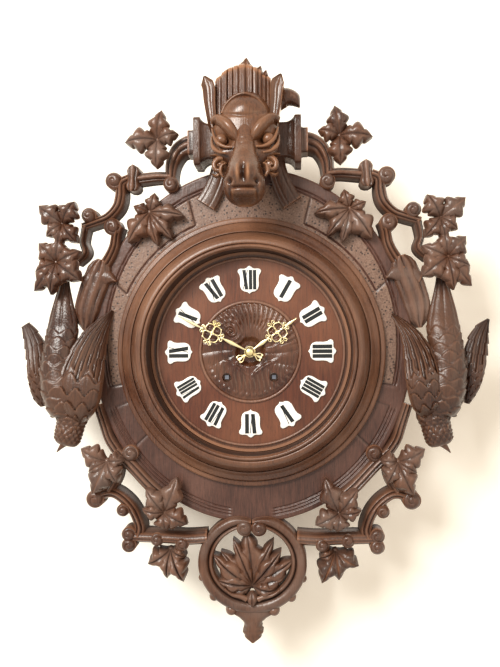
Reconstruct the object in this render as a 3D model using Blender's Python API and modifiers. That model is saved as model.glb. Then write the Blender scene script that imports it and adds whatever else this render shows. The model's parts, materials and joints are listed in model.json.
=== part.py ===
"""Carved walnut wall clock: an oval board with turned bezel, enamel hours and carved frame,
on a box that holds a two-train striking movement.

Sizes are millimetres, turned to metres where a mesh is made. Points are written (x, z, front):
x to the right, z up from the dial's centre, front the distance from the wall. Front faces -Y.
"""
import math

import bmesh
import bpy
import numpy as np

for old in list(bpy.data.objects):
    bpy.data.objects.remove(old, do_unlink=True)

MM = 0.001

# Clearances
SEAT = 0.3
RUNNING = 0.3
BOARD_REBATE = 0.4

# Movement box and its door
BOX_WIDTH = 190.0
BOX_TOP = 112.0
BOX_BOTTOM = -150.0
BOX_DEPTH = 70.0
BOX_WALL = 8.0
DOOR_TOP = 80.0
DOOR_BOTTOM = -118.0
DOOR_BACK = 16.0
DOOR_FRONT = 60.0
HINGE_RADIUS = 2.5
HINGE_LENGTH = 12.0
HINGE_INSET = 30.0
HANGER_WIDTH = 36.0
HANGER_HEIGHT = 46.0
HANGER_RISE = 22.0
HANGER_THICK = 2.5
HANGER_HOLE = 5.0
HANGER_SLOT = 2.6

# Oval case board
BOARD_HALF_WIDTH = 178.0
BOARD_HALF_HEIGHT = 197.0
BOARD_RISE = 7.0
BOARD_THICK = 20.0
BOARD_OPENING = 66.0
BOARD_EDGE_ROUND = 4.0
BOARD_REED_IN = 12.0
BOARD_REED_DEEP = 1.6

# Turned bezel and dial
BEZEL_RADIUS = 148.0
BEZEL_BORE = 111.0
BEZEL_HEIGHT = 36.0
DIAL_THICK = 6.0
DIAL_BEAD = 103.0
BEAD_HALF = 1.5
MEDALLION_RADIUS = 55.0
MEDALLION_RISE = 3.0
MEDALLION_FLUTES = 12
CENTRE_HOLE = 5.2
WINDING_HOLE = 4.4
HOUR_RING = 79.0
PLAQUE_LENGTH = 31.0
PLAQUE_WIDTH = 26.0
PLAQUE_THICK = 1.4

# Movement
PLATE_HALF_WIDTH = 53.0
PLATE_TOP = 54.0
PLATE_BOTTOM = -54.0
PLATE_THICK = 2.0
PLATE_GAP = 38.0
PILLAR_RADIUS = 3.0
PILLAR_INSET = 7.0
BARREL_X = 26.0
BARREL_Z = -28.0
ARBOR_RADIUS = 1.6
PIVOT_RADIUS = 1.0
WINDING_RADIUS = 3.2
WINDING_SQUARE = 4.2
DRUM_RADIUS = 16.5
DRUM_LENGTH = 14.0
WHEEL_THICK = 2.0
PINION_LENGTH = 5.0
GREAT_TEETH = 28
GREAT_PINION = 7
GREAT_MODULE = 1.54
SECOND_TEETH = 24
SECOND_PINION = 6
SECOND_MODULE = 1.33
THIRD_TEETH = 24
THIRD_PINION = 6
THIRD_MODULE = 1.13
ESCAPE_DRIVER_TEETH = 24
ESCAPE_PINION = 6
ESCAPE_MODULE = 0.95
ESCAPE_TEETH = 15
ESCAPE_RADIUS = 10.5
PALLET_CLEARANCE = 1.2
CANNON_TEETH = 8
MINUTE_TEETH = 24
MINUTE_PINION = 6
HOUR_TEETH = 24
MOTION_MODULE = 1.2
PENDULUM_LENGTH = 160.0
BOB_RADIUS = 20.0
BOB_THICK = 7.0
ROD_RADIUS = 1.5
GONG_LOOPS = 3
LOOP_STEPS = 18
GONG_OUTER = 36.0
GONG_INNER = 7.0
GONG_WIRE = 1.5
GONG_Z = -100.0
GONG_POST = 12.0
STRIKE_PINS = 6
PIN_CIRCLE = 12.0
PIN_RADIUS = 0.9
HAND_GAP = 4.0
PIPE_WALL = 0.9
CENTRE_STEM = 2.0
NUT_HEIGHT = 4.0
NUT_RADIUS = 5.0
STUD_RADIUS = 1.2
PIN_LENGTH = 4.0
VANE_RADIUS = 8.0
VANE_THICK = 1.0
HAMMER_REST = 1.0
HEAD_HALF = 4.0
DRUM_LAYER = 3.0
CENTRE_LAYER = 6.0
THIRD_LAYER = 14.0
GREAT_THICK = 3.0

# Hands, at ten minutes to two
MINUTE_LENGTH = 87.0
HOUR_LENGTH = 63.0
HAND_THICK = 1.2
HAND_EYE = 2.2
HAND_TAIL = 15.0
STALK_HALF = 1.3
MINUTE_ROSETTE = 46.0
HOUR_ROSETTE = 37.0
ROSETTE_RADIUS = 13.5
HANDS_MINUTES = 109.5

# Carving: thickness of the pierced frame and rise of what is carved on it
FRAME_BACK = 74.0
FRAME_THICK = 24.0
LEAF_RISE = 13.0
LEAF_EDGE = 4.0
LEAF_VALLEY = 0.5
SHOULDER = 0.55
SHOULDER_SHARE = 0.42
PENDANT_RADIUS = 61.0
PENDANT_BAND = 16.0
PENDANT_HANG = 45.0
FINIAL_LENGTH = 26.0
RING_KNOB = 8.6
RING_STEPS = 22
KNOB_SIDES = 7
SPOOL_HALF = 51.0
SPOOL_RISE = 24.0
SPOOL_BACK = 78.0
SPOOL_FRONT = 118.0
FLANGE_GROW = 7.0
FLANGE_THICK = 6.5
NECK_LENGTH = 7.5
SPOOL_TALL = 19.0
COVE = 8.0

# Values that follow from those above
FULL_TURN = 2 * math.pi
RIM_STEPS = 32
BEZEL_STEPS = 28
DIAL_EDGE = BEZEL_BORE * math.cos(math.pi / BEZEL_STEPS) - SEAT
BOARD_BACK = BOX_DEPTH
BOARD_FRONT = BOARD_BACK + BOARD_THICK
CARVED_SEAT = BOARD_FRONT + SEAT
FRAME_FRONT = FRAME_BACK + FRAME_THICK
DIAL_FRONT = CARVED_SEAT + DIAL_THICK
PLATE_FRONT = BOARD_BACK - SEAT
PLATE_INNER = PLATE_FRONT - PLATE_THICK
BACK_PLATE_FRONT = PLATE_INNER - PLATE_GAP
BACK_PLATE_BACK = BACK_PLATE_FRONT - PLATE_THICK


def new_collection(name):
    """A collection linked to the scene."""
    made = bpy.data.collections.new(name)
    bpy.context.scene.collection.children.link(made)
    return made


CLOCK = new_collection("wall_clock")
CUTTERS = new_collection("cutters")


def finish(name, colour, roughness, metallic=0.0):
    """A Principled material of one colour."""
    made = bpy.data.materials.new(name)
    made.use_nodes = True
    shader = made.node_tree.nodes["Principled BSDF"]
    shader.inputs["Base Color"].default_value = (*colour, 1.0)
    shader.inputs["Roughness"].default_value = roughness
    shader.inputs["Metallic"].default_value = metallic
    return made


WALNUT = finish("carved_walnut", (0.105, 0.048, 0.030), 0.45)
TURNED = finish("turned_walnut", (0.130, 0.060, 0.036), 0.38)
RED_WOOD = finish("red_dial_wood", (0.150, 0.050, 0.032), 0.42)
BOX_WOOD = finish("plain_box_wood", (0.200, 0.120, 0.065), 0.6)
ENAMEL = finish("white_enamel", (0.86, 0.86, 0.83), 0.15)
BRASS = finish("gilt_brass", (0.80, 0.62, 0.30), 0.3, 1.0)
MOVEMENT_BRASS = finish("movement_brass", (0.62, 0.46, 0.20), 0.35, 1.0)
STEEL = finish("blued_steel", (0.28, 0.28, 0.31), 0.35, 1.0)
IRON = finish("black_iron", (0.05, 0.05, 0.05), 0.6, 0.6)


def world(points):
    """(x, z, front) in millimetres as x, y, z in metres."""
    points = np.asarray(points, float)
    return np.stack([points[..., 0], -points[..., 2], points[..., 1]], -1) * MM


def add_object(name, mesh, wood, pivot=(0.0, 0.0, 0.0)):
    """A named piece whose origin lies on pivot, with its mesh given in world places."""
    made = bpy.data.objects.new(name, mesh)
    made.location = world(pivot)
    mesh.transform(made.matrix_basis.inverted())
    mesh.materials.clear()
    mesh.materials.append(wood)
    CLOCK.objects.link(made)
    return made


def closed_mesh(name, points, faces):
    """A mesh from points and faces with its normals turned outwards."""
    mesh = bpy.data.meshes.new(name)
    mesh.from_pydata(world(points).tolist(), [], faces)
    shape = bmesh.new()
    shape.from_mesh(mesh)
    bmesh.ops.remove_doubles(shape, verts=shape.verts, dist=1e-6)
    bmesh.ops.recalc_face_normals(shape, faces=shape.faces)
    shape.to_mesh(mesh)
    shape.free()
    return mesh


def lofted(name, rings):
    """Rings of equal count joined in order, with both ends capped."""
    rings = np.asarray(rings, float)
    count, around = rings.shape[:2]
    index = np.arange(count * around).reshape(count, around)
    following = np.roll(index, -1, axis=1)
    quads = np.stack([index[:-1], following[:-1], following[1:], index[1:]], -1)
    faces = quads.reshape(-1, 4).tolist()
    faces += [index[0, ::-1].tolist(), index[-1].tolist()]
    return closed_mesh(name, rings.reshape(-1, 3), faces)


def flat_mesh(name, outlines, back, front):
    """Flat outlines, the later ones holes, filled and given their thickness."""
    curve = bpy.data.curves.new(name, "CURVE")
    curve.dimensions = "2D"
    curve.fill_mode = "BOTH"
    curve.extrude = (front - back) / 2 * MM
    for outline in outlines:
        outline = np.asarray(outline, float) * MM
        spline = curve.splines.new("POLY")
        spline.points.add(len(outline) - 1)
        corners = np.zeros((len(outline), 4))
        corners[:, :2] = outline
        spline.points.foreach_set("co", corners.ravel())
        spline.use_cyclic_u = True
    return mesh_of_curve(curve, (math.pi / 2, 0.0, 0.0), (0.0, -(front + back) / 2 * MM, 0.0))


def mesh_of_curve(curve, turn, place):
    """The welded mesh of a curve that is turned and placed."""
    holder = bpy.data.objects.new(curve.name, curve)
    holder.rotation_euler = turn
    holder.location = place
    CLOCK.objects.link(holder)
    bpy.context.view_layer.update()
    seen = holder.evaluated_get(bpy.context.evaluated_depsgraph_get())
    mesh = bpy.data.meshes.new_from_object(seen)
    mesh.transform(holder.matrix_world)
    bpy.data.objects.remove(holder, do_unlink=True)
    shape = bmesh.new()
    shape.from_mesh(mesh)
    bmesh.ops.remove_doubles(shape, verts=shape.verts, dist=1e-6)
    bmesh.ops.recalc_face_normals(shape, faces=shape.faces)
    shape.to_mesh(mesh)
    shape.free()
    return mesh


def turned_mesh(name, profile, steps, centre=(0.0, 0.0), ring=False):
    """A profile of (radius, front) points turned about an axis that points to the front."""
    base = bpy.data.meshes.new(name)
    count = len(profile)
    edges = [(i, i + 1) for i in range(count - 1)]
    if ring:
        edges.append((count - 1, 0))
    base.from_pydata([(radius * MM, 0.0, front * MM) for radius, front in profile], edges, [])
    holder = bpy.data.objects.new(name, base)
    holder.rotation_euler = (math.pi / 2, 0.0, 0.0)
    holder.location = (centre[0] * MM, 0.0, centre[1] * MM)
    turn = holder.modifiers.new("turning", "SCREW")
    turn.axis = "Z"
    turn.steps = steps
    turn.render_steps = steps
    turn.use_merge_vertices = True
    turn.merge_threshold = 1e-6
    CLOCK.objects.link(holder)
    bpy.context.view_layer.update()
    seen = holder.evaluated_get(bpy.context.evaluated_depsgraph_get())
    mesh = bpy.data.meshes.new_from_object(seen)
    mesh.transform(holder.matrix_world)
    bpy.data.objects.remove(holder, do_unlink=True)
    shape = bmesh.new()
    shape.from_mesh(mesh)
    bmesh.ops.recalc_face_normals(shape, faces=shape.faces)
    shape.to_mesh(mesh)
    shape.free()
    return mesh


def block_mesh(name, low, high):
    """A box between two (x, z, front) corners, from the cube primitive."""
    shape = bmesh.new()
    bmesh.ops.create_cube(shape, size=1.0)
    mesh = bpy.data.meshes.new(name)
    low = world(low)
    high = world(high)
    for vertex in shape.verts:
        vertex.co = np.where(np.array(vertex.co) > 0, np.maximum(low, high), np.minimum(low, high))
    bmesh.ops.recalc_face_normals(shape, faces=shape.faces)
    shape.to_mesh(mesh)
    shape.free()
    return mesh


def helper(mesh):
    """A cutter or joined shape, kept out of the finished clock."""
    made = bpy.data.objects.new(mesh.name, mesh)
    made.hide_render = True
    made.display_type = "WIRE"
    CUTTERS.objects.link(made)
    return made


def combine(piece, operation, *tools):
    """Boolean modifiers, one for each tool, on a piece."""
    for tool in tools:
        step = piece.modifiers.new(operation.lower(), "BOOLEAN")
        step.operation = operation
        step.object = tool if isinstance(tool, bpy.types.Object) else helper(tool)
    return piece


def circle(x, z, radius, count=24, phase=0.0):
    """Points on a circle in the plane of the dial."""
    angle = phase + np.arange(count) * FULL_TURN / count
    return np.stack([x + radius * np.cos(angle), z + radius * np.sin(angle)], -1)


def rim_point(degrees, out, side=1):
    """A place set out from the oval rim: degrees from the top, then millimetres outwards."""
    angle = np.radians(degrees)
    x = side * np.sin(angle) * (BOARD_HALF_WIDTH + np.asarray(out, float))
    z = BOARD_RISE + np.cos(angle) * (BOARD_HALF_HEIGHT + np.asarray(out, float))
    return np.stack([x, z], -1)


def oval(grow, count=RIM_STEPS):
    """The board's outline, grown outwards."""
    return rim_point(np.arange(count) * 360.0 / count, grow)


def smooth_path(points, count):
    """Even samples of a Catmull-Rom curve through the points."""
    points = np.asarray(points, float)
    ends = np.vstack([2 * points[0] - points[1], points, 2 * points[-1] - points[-2]])
    spot = np.linspace(0, len(points) - 1 - 1e-9, count)
    span = spot.astype(int)
    t = (spot - span)[:, None]
    a, b, c, d = ends[span], ends[span + 1], ends[span + 2], ends[span + 3]
    return 0.5 * (2 * b + (c - a) * t + (2 * a - 5 * b + 4 * c - d) * t**2 + (3 * b - a - 3 * c + d) * t**3)


def ring_lofted(name, rings):
    """Rings joined in order and back to the first, for a body with a hole through it."""
    rings = np.asarray(rings, float)
    count, around = rings.shape[:2]
    index = np.arange(count * around).reshape(count, around)
    across = np.roll(index, -1, axis=1)
    onward = np.roll(index, -1, axis=0)
    quads = np.stack([index, across, np.roll(across, -1, axis=0), onward], -1)
    return closed_mesh(name, rings.reshape(-1, 3), quads.reshape(-1, 4).tolist())


def at_front(outline, front):
    """A flat outline lifted to a distance from the wall."""
    outline = np.asarray(outline, float)
    height = np.broadcast_to(np.asarray(front, float), outline.shape[:1])
    return np.column_stack([outline, height])


def upright_post(name, x, front, low, high, radius, sides=10):
    """A round post that stands along z."""
    foot = circle(x, front, radius, sides)
    return lofted(name, [[(px, z, pf) for px, pf in foot] for z in (low, high)])


# Movement box, with a rebate for the hanger plate and an opening for the side door
box_side = BOX_WIDTH / 2
box_front = BOX_DEPTH - SEAT
inner_side = box_side - BOX_WALL
hinge_x = box_side + HINGE_RADIUS + SEAT
hinge_heights = (DOOR_TOP - HINGE_INSET, DOOR_BOTTOM + HINGE_INSET)
hanger_low = BOX_TOP - (HANGER_HEIGHT - HANGER_RISE)


def hinge_leaf(name, middle, back, front):
    """A hinge's flat leaf, let into the wood and wrapped round the pin's line."""
    low = (box_side - 1.0, middle - HINGE_LENGTH / 2, back)
    high = (hinge_x, middle + HINGE_LENGTH / 2, front)
    return block_mesh(name, low, high)


box = add_object(
    "movement_box",
    block_mesh("movement_box", (-box_side, BOX_BOTTOM, 0), (box_side, BOX_TOP, box_front)),
    BOX_WOOD,
)
combine(
    box,
    "DIFFERENCE",
    block_mesh(
        "box_hollow",
        (-inner_side, BOX_BOTTOM + BOX_WALL, BOX_WALL),
        (inner_side, BOX_TOP - BOX_WALL, BOX_DEPTH + BOX_WALL),
    ),
    block_mesh(
        "door_opening",
        (inner_side - BOX_WALL, DOOR_BOTTOM, DOOR_BACK),
        (box_side + BOX_WALL, DOOR_TOP, DOOR_FRONT),
    ),
    block_mesh(
        "hanger_rebate",
        (-HANGER_WIDTH / 2 - SEAT, hanger_low - SEAT, -BOX_WALL),
        (HANGER_WIDTH / 2 + SEAT, BOX_TOP + BOX_WALL, HANGER_THICK + SEAT),
    ),
)
for middle in hinge_heights:
    fixed = middle + HINGE_LENGTH + RUNNING
    leaf_back = DOOR_BACK - 3 * HINGE_RADIUS
    combine(
        box,
        "UNION",
        hinge_leaf("fixed_leaf", fixed, leaf_back, DOOR_BACK - HINGE_RADIUS / 2),
        upright_post(
            "fixed_knuckle",
            hinge_x,
            DOOR_BACK,
            fixed - HINGE_LENGTH / 2,
            fixed + HINGE_LENGTH / 2,
            HINGE_RADIUS,
        ),
    )

door_low = (inner_side, DOOR_BOTTOM + 2 * SEAT, DOOR_BACK + 2 * SEAT)
door_high = (box_side, DOOR_TOP - 2 * SEAT, DOOR_FRONT - 2 * SEAT)
door = add_object(
    "side_door", block_mesh("side_door", door_low, door_high), BOX_WOOD, pivot=(hinge_x, 0.0, DOOR_BACK)
)
for middle in hinge_heights:
    leaf_front = DOOR_BACK + 3 * HINGE_RADIUS
    combine(
        door,
        "UNION",
        hinge_leaf("door_leaf", middle, DOOR_BACK + HINGE_RADIUS / 2, leaf_front),
        upright_post(
            "door_knuckle",
            hinge_x,
            DOOR_BACK,
            middle - HINGE_LENGTH / 2,
            middle + HINGE_LENGTH / 2,
            HINGE_RADIUS,
        ),
    )

# Hanger plate with a keyhole: a round hole and a slot above it
hole_z = BOX_TOP + HANGER_RISE / 2 - HANGER_SLOT
slot_angle = np.linspace(math.radians(60), math.radians(-240), 14)
keyhole = np.stack([HANGER_HOLE * np.cos(slot_angle), hole_z + HANGER_HOLE * np.sin(slot_angle)], -1)
slot_top = hole_z + HANGER_HOLE + 2 * HANGER_SLOT
keyhole = np.vstack([keyhole, [(-HANGER_SLOT, slot_top), (HANGER_SLOT, slot_top)]])
hanger_top = BOX_TOP + HANGER_RISE
corner = HANGER_WIDTH / 4
hanger_outline = [
    (-HANGER_WIDTH / 2, hanger_low),
    (HANGER_WIDTH / 2, hanger_low),
    (HANGER_WIDTH / 2, hanger_top - corner),
    (HANGER_WIDTH / 2 - corner, hanger_top),
    (-HANGER_WIDTH / 2 + corner, hanger_top),
    (-HANGER_WIDTH / 2, hanger_top - corner),
]
add_object("hanger_plate", flat_mesh("hanger_plate", [hanger_outline, keyhole], SEAT / 3, HANGER_THICK), IRON)

# Oval board: rounded edge, one reed along the rim, round opening for the motion work
reed = BOARD_REED_DEEP
board_rings = [
    at_front(oval(0.0), BOARD_BACK),
    at_front(oval(0.0), BOARD_FRONT - BOARD_EDGE_ROUND),
    at_front(oval(-0.3 * BOARD_EDGE_ROUND), BOARD_FRONT - 0.3 * BOARD_EDGE_ROUND),
    at_front(oval(-BOARD_EDGE_ROUND), BOARD_FRONT),
    at_front(oval(-BOARD_REED_IN), BOARD_FRONT),
    at_front(oval(-BOARD_REED_IN - reed), BOARD_FRONT - reed),
    at_front(oval(-BOARD_REED_IN - 2 * reed), BOARD_FRONT),
]
opening_angle = np.arange(RIM_STEPS) * FULL_TURN / RIM_STEPS
opening = BOARD_OPENING * np.stack([np.sin(opening_angle), np.cos(opening_angle)], -1)
board_rings += [at_front(opening, BOARD_FRONT), at_front(opening, BOARD_BACK)]
add_object("case_board", ring_lofted("case_board", board_rings), WALNUT)

# Bezel: its moulding as shares of the ring's width, inwards, and of its height
MOULDING = (
    (0.00, 0.00),
    (0.00, 0.17),
    (0.14, 0.26),
    (0.22, 0.42),
    (0.38, 0.53),
    (0.43, 0.64),
    (0.60, 0.88),
    (0.73, 1.00),
    (0.86, 0.97),
    (1.00, 0.78),
    (1.00, 0.00),
)
bezel_width = BEZEL_RADIUS - BEZEL_BORE
bezel_profile = [(BEZEL_RADIUS - bezel_width * i, CARVED_SEAT + BEZEL_HEIGHT * u) for i, u in MOULDING]
add_object("bezel_ring", turned_mesh("bezel_ring", bezel_profile, BEZEL_STEPS, ring=True), TURNED)

# Dial: bead near the rim, and a fluted shell medallion inside its own bead
around = np.arange(2 * MEDALLION_FLUTES) * FULL_TURN / (2 * MEDALLION_FLUTES)
flute = MEDALLION_RISE * (0.5 + 0.5 * np.cos(MEDALLION_FLUTES * around))


def dial_ring(radius, front):
    """A ring of the dial, whose height may vary round it."""
    return at_front(radius * np.stack([np.cos(around), np.sin(around)], -1), front)


dial_rings = [
    dial_ring(DIAL_EDGE, CARVED_SEAT),
    dial_ring(DIAL_EDGE, DIAL_FRONT),
    dial_ring(DIAL_BEAD + BEAD_HALF, DIAL_FRONT),
    dial_ring(DIAL_BEAD, DIAL_FRONT + BEAD_HALF),
    dial_ring(DIAL_BEAD - BEAD_HALF, DIAL_FRONT),
    dial_ring(MEDALLION_RADIUS + BEAD_HALF, DIAL_FRONT),
    dial_ring(MEDALLION_RADIUS, DIAL_FRONT + BEAD_HALF),
    dial_ring(MEDALLION_RADIUS - BEAD_HALF, DIAL_FRONT - BEAD_HALF),
    dial_ring(MEDALLION_RADIUS * 0.7, DIAL_FRONT + flute),
    dial_ring(MEDALLION_RADIUS * 0.35, DIAL_FRONT - BEAD_HALF + flute / 2),
    dial_ring(CENTRE_HOLE, DIAL_FRONT),
    dial_ring(CENTRE_HOLE, CARVED_SEAT),
]
dial = add_object("dial_board", ring_lofted("dial_board", dial_rings), RED_WOOD)
for side in (-1, 1):
    through = [(0, DIAL_FRONT + BOARD_THICK), (WINDING_HOLE, DIAL_FRONT + BOARD_THICK)]
    through += [(WINDING_HOLE, BOARD_FRONT - DIAL_THICK), (0, BOARD_FRONT - DIAL_THICK)]
    combine(dial, "DIFFERENCE", turned_mesh("winding_hole", through, 12, centre=(side * BARREL_X, BARREL_Z)))

# Enamel hour plaques: half outline as shares of the half width and half length
PLAQUE_HALF = (
    (0.0, 1.0),
    (0.34, 0.74),
    (0.92, 0.76),
    (1.0, 0.46),
    (0.78, 0.22),
    (0.71, -0.58),
    (0.34, -0.88),
    (0.0, -1.0),
)
right_half = np.array(PLAQUE_HALF) * (PLAQUE_WIDTH / 2, PLAQUE_LENGTH / 2)
left_half = right_half[-2:0:-1] * (-1, 1)
plaque = np.vstack([right_half, left_half]) + (0.0, HOUR_RING)
for hour in range(1, 13):
    turn = math.radians(30 * hour)
    spun = plaque @ np.array([[math.cos(turn), -math.sin(turn)], [math.sin(turn), math.cos(turn)]])
    name = f"hour_cartouche_{hour:02d}"
    seat = DIAL_FRONT + SEAT
    add_object(name, flat_mesh(name, [spun], seat, seat + PLAQUE_THICK), ENAMEL)


def depth(back_from_plate):
    """Front of a layer, counted backwards from the front plate's inner face."""
    return PLATE_INNER - back_from_plate


# A wheel's tooth and a pinion's leaf: half pitches from its middle, and share of its height
WHEEL_TOOTH = ((-0.62, 0.0), (-0.2, 1.0), (0.2, 1.0), (0.62, 0.0))
PINION_LEAF = ((-0.55, 0.0), (0.0, 1.0), (0.55, 0.0))
PINION_MOST = 8


def gear_outline(centre, teeth, module, phase):
    """Teeth round a wheel or leaves round a pinion, one of them at the phase angle."""
    pitch = module * teeth / 2
    root, tip = pitch - 1.2 * module, pitch + 0.8 * module
    step = math.pi / teeth
    profile = PINION_LEAF if teeth <= PINION_MOST else WHEEL_TOOTH
    turns, levels = np.array(profile).T
    angles = phase + np.arange(teeth)[:, None] * 2 * step + step * turns
    radii = np.broadcast_to(root + (tip - root) * levels, angles.shape)
    x, z = centre[0] + radii * np.cos(angles), centre[1] + radii * np.sin(angles)
    return np.stack([x, z], -1).reshape(-1, 2)


def crossings(centre, hub, rim, arms=3):
    """The openings between a wheel's arms."""
    holes = []
    for arm in range(arms):
        start = FULL_TURN * arm / arms
        lean = math.asin(ARBOR_RADIUS / hub)
        inner = np.array([start + lean, start + FULL_TURN / arms - lean])
        outer = np.linspace(start + lean * hub / rim, start + FULL_TURN / arms - lean * hub / rim, 3)[::-1]
        corners = [(hub, a) for a in inner] + [(rim, a) for a in outer]
        holes.append([(centre[0] + r * math.cos(a), centre[1] + r * math.sin(a)) for r, a in corners])
    return holes


def wheel_mesh(name, centre, teeth, module, phase, front, thick=WHEEL_THICK):
    """A crossed-out wheel, its front face at a given distance from the wall."""
    rim = module * teeth / 2 - 3.0 * module
    outlines = [gear_outline(centre, teeth, module, phase)] + crossings(centre, 2.6 * ARBOR_RADIUS, rim)
    return flat_mesh(name, outlines, front - thick, front)


def pinion_mesh(name, centre, teeth, module, phase, middle):
    """A solid pinion, centred on the layer of the wheel that drives it."""
    outline = gear_outline(centre, teeth, module, phase)
    return flat_mesh(name, [outline], middle - PINION_LENGTH / 2, middle + PINION_LENGTH / 2)


def arbor_mesh(name, centre, front=PLATE_FRONT, back=BACK_PLATE_BACK):
    """An arbor between the plates, with a thinner pivot at each end."""
    shoulder_front = PLATE_INNER - RUNNING
    shoulder_back = BACK_PLATE_FRONT + RUNNING
    profile = [
        (0, front),
        (PIVOT_RADIUS, front),
        (PIVOT_RADIUS, shoulder_front),
        (ARBOR_RADIUS, shoulder_front),
        (ARBOR_RADIUS, shoulder_back),
        (PIVOT_RADIUS, shoulder_back),
        (PIVOT_RADIUS, back),
        (0, back),
    ]
    return turned_mesh(name, profile, 6, centre)


def meet(start, start_reach, end, end_reach, turn):
    """The place at two given distances from two centres, on the chosen side."""
    start, end = np.array(start, float), np.array(end, float)
    span = np.linalg.norm(end - start)
    along = (start_reach**2 - end_reach**2 + span**2) / (2 * span)
    off = turn * math.sqrt(max(start_reach**2 - along**2, 0.0))
    way = (end - start) / span
    return tuple(start + along * way + off * np.array([-way[1], way[0]]))


def polar(centre, reach, degrees):
    """The place at a distance and angle from a centre."""
    return (
        centre[0] + reach * math.cos(math.radians(degrees)),
        centre[1] + reach * math.sin(math.radians(degrees)),
    )


def toward(start, end):
    """Angle of the line from one centre to another."""
    return math.atan2(end[1] - start[1], end[0] - start[0])


def mesh_distance(teeth, pinion, module):
    """Centre distance of a wheel and its pinion."""
    return module * (teeth + pinion) / 2


# Places of the arbors
centre_at = (0.0, 0.0)
going_at = (-BARREL_X, BARREL_Z)
strike_at = (BARREL_X, BARREL_Z)
great_reach = mesh_distance(GREAT_TEETH, GREAT_PINION, GREAT_MODULE)
second_reach = mesh_distance(SECOND_TEETH, SECOND_PINION, SECOND_MODULE)
second_at = meet(going_at, great_reach, centre_at, second_reach, 1)
third_at = polar(centre_at, mesh_distance(THIRD_TEETH, THIRD_PINION, THIRD_MODULE), 90)
escape_at = polar(third_at, mesh_distance(ESCAPE_DRIVER_TEETH, ESCAPE_PINION, ESCAPE_MODULE), 90)
anchor_at = polar(escape_at, 1.5 * ESCAPE_RADIUS, 90)
pin_wheel_at = polar(strike_at, great_reach, 80)
fly_at = polar(pin_wheel_at, second_reach, 85)
hammer_at = polar(pin_wheel_at, PIN_CIRCLE + 10.0, 45)
motion_reach = MOTION_MODULE * (CANNON_TEETH + MINUTE_TEETH) / 2
minute_at = (motion_reach, 0.0)
hour_module = 2 * motion_reach / (MINUTE_PINION + HOUR_TEETH)

# Layers of the trains, counted backwards from the front plate
great_front = depth(DRUM_LAYER + DRUM_LENGTH)
great_middle = great_front - GREAT_THICK / 2
centre_front = depth(CENTRE_LAYER)
third_front = depth(THIRD_LAYER)
second_front = BACK_PLATE_FRONT + 6 * WHEEL_THICK
escape_front = BACK_PLATE_FRONT + 4 * WHEEL_THICK
half_wheel = WHEEL_THICK / 2


def barrel(name, centre, mate):
    """A spring barrel: drum and great wheel in one, bored for its winding arbor."""
    bore = WINDING_RADIUS + RUNNING
    profile = [
        (bore, depth(DRUM_LAYER)),
        (DRUM_RADIUS, depth(DRUM_LAYER)),
        (DRUM_RADIUS, great_front - GREAT_THICK + RUNNING),
        (bore, great_front - GREAT_THICK + RUNNING),
    ]
    drum = turned_mesh(name, profile, 10, centre, ring=True)
    outline = gear_outline(centre, GREAT_TEETH, GREAT_MODULE, toward(centre, mate))
    hollow = circle(*centre, DRUM_RADIUS - 3.0, 8)
    great = flat_mesh("great_wheel", [outline, hollow], great_front - GREAT_THICK, great_front)
    return combine(add_object(name, drum, MOVEMENT_BRASS, pivot=(*centre, great_middle)), "UNION", great)


def winding_arbor(name, centre):
    """A winding arbor: round through the barrel, square where the key goes on."""
    square = WINDING_SQUARE / 2
    sections = [
        (BACK_PLATE_BACK, PIVOT_RADIUS * 2, False),
        (BACK_PLATE_FRONT + RUNNING, PIVOT_RADIUS * 2, False),
        (BACK_PLATE_FRONT + RUNNING, WINDING_RADIUS, False),
        (PLATE_FRONT + PLATE_THICK, WINDING_RADIUS, False),
        (PLATE_FRONT + 2 * PLATE_THICK, square, True),
        (DIAL_FRONT - 1.0, square, True),
    ]
    angle = np.arange(8) * FULL_TURN / 8
    corner = 1 / np.maximum(abs(np.cos(angle)), abs(np.sin(angle)))
    rings = []
    for front, radius, squared in sections:
        reach = radius * (corner if squared else np.ones(8))
        flat = np.stack([centre[0] + reach * np.cos(angle), centre[1] + reach * np.sin(angle)], -1)
        rings.append(at_front(flat, front))
    return add_object(name, lofted(name, rings), STEEL, pivot=(*centre, PLATE_FRONT))


def gap_angle(centre, mate, teeth):
    """Phase of a pinion that turns a gap towards the wheel it meshes with."""
    return toward(centre, mate) + math.pi / teeth


def train_arbor(name, centre, wheel, pinion, arbor=None):
    """One arbor of a train with its wheel and pinion joined."""
    base = arbor or arbor_mesh(name, centre)
    return combine(
        add_object(name, base, MOVEMENT_BRASS, pivot=(*centre, PLATE_FRONT)), "UNION", wheel, pinion
    )


# Going train
barrel("going_barrel", going_at, second_at)
winding_arbor("going_winding_arbor", going_at)
train_arbor(
    "intermediate_wheel",
    second_at,
    wheel_mesh(
        "second_wheel", second_at, SECOND_TEETH, SECOND_MODULE, toward(second_at, centre_at), second_front
    ),
    pinion_mesh(
        "great_pinion",
        second_at,
        GREAT_PINION,
        GREAT_MODULE,
        gap_angle(second_at, going_at, GREAT_PINION),
        great_middle,
    ),
)
cannon_bore = CENTRE_STEM + RUNNING
cannon_radius = cannon_bore + PIPE_WALL
hour_bore = cannon_radius + RUNNING
hour_radius = hour_bore + PIPE_WALL
hour_hand_back = DIAL_FRONT + MEDALLION_RISE + SEAT + 1.0
hour_hand_front = hour_hand_back + HAND_THICK
minute_hand_back = hour_hand_front + HAND_GAP
minute_hand_front = minute_hand_back + HAND_THICK
nut_back = minute_hand_front + SEAT
stem_tip = nut_back + 0.6 * NUT_HEIGHT
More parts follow.
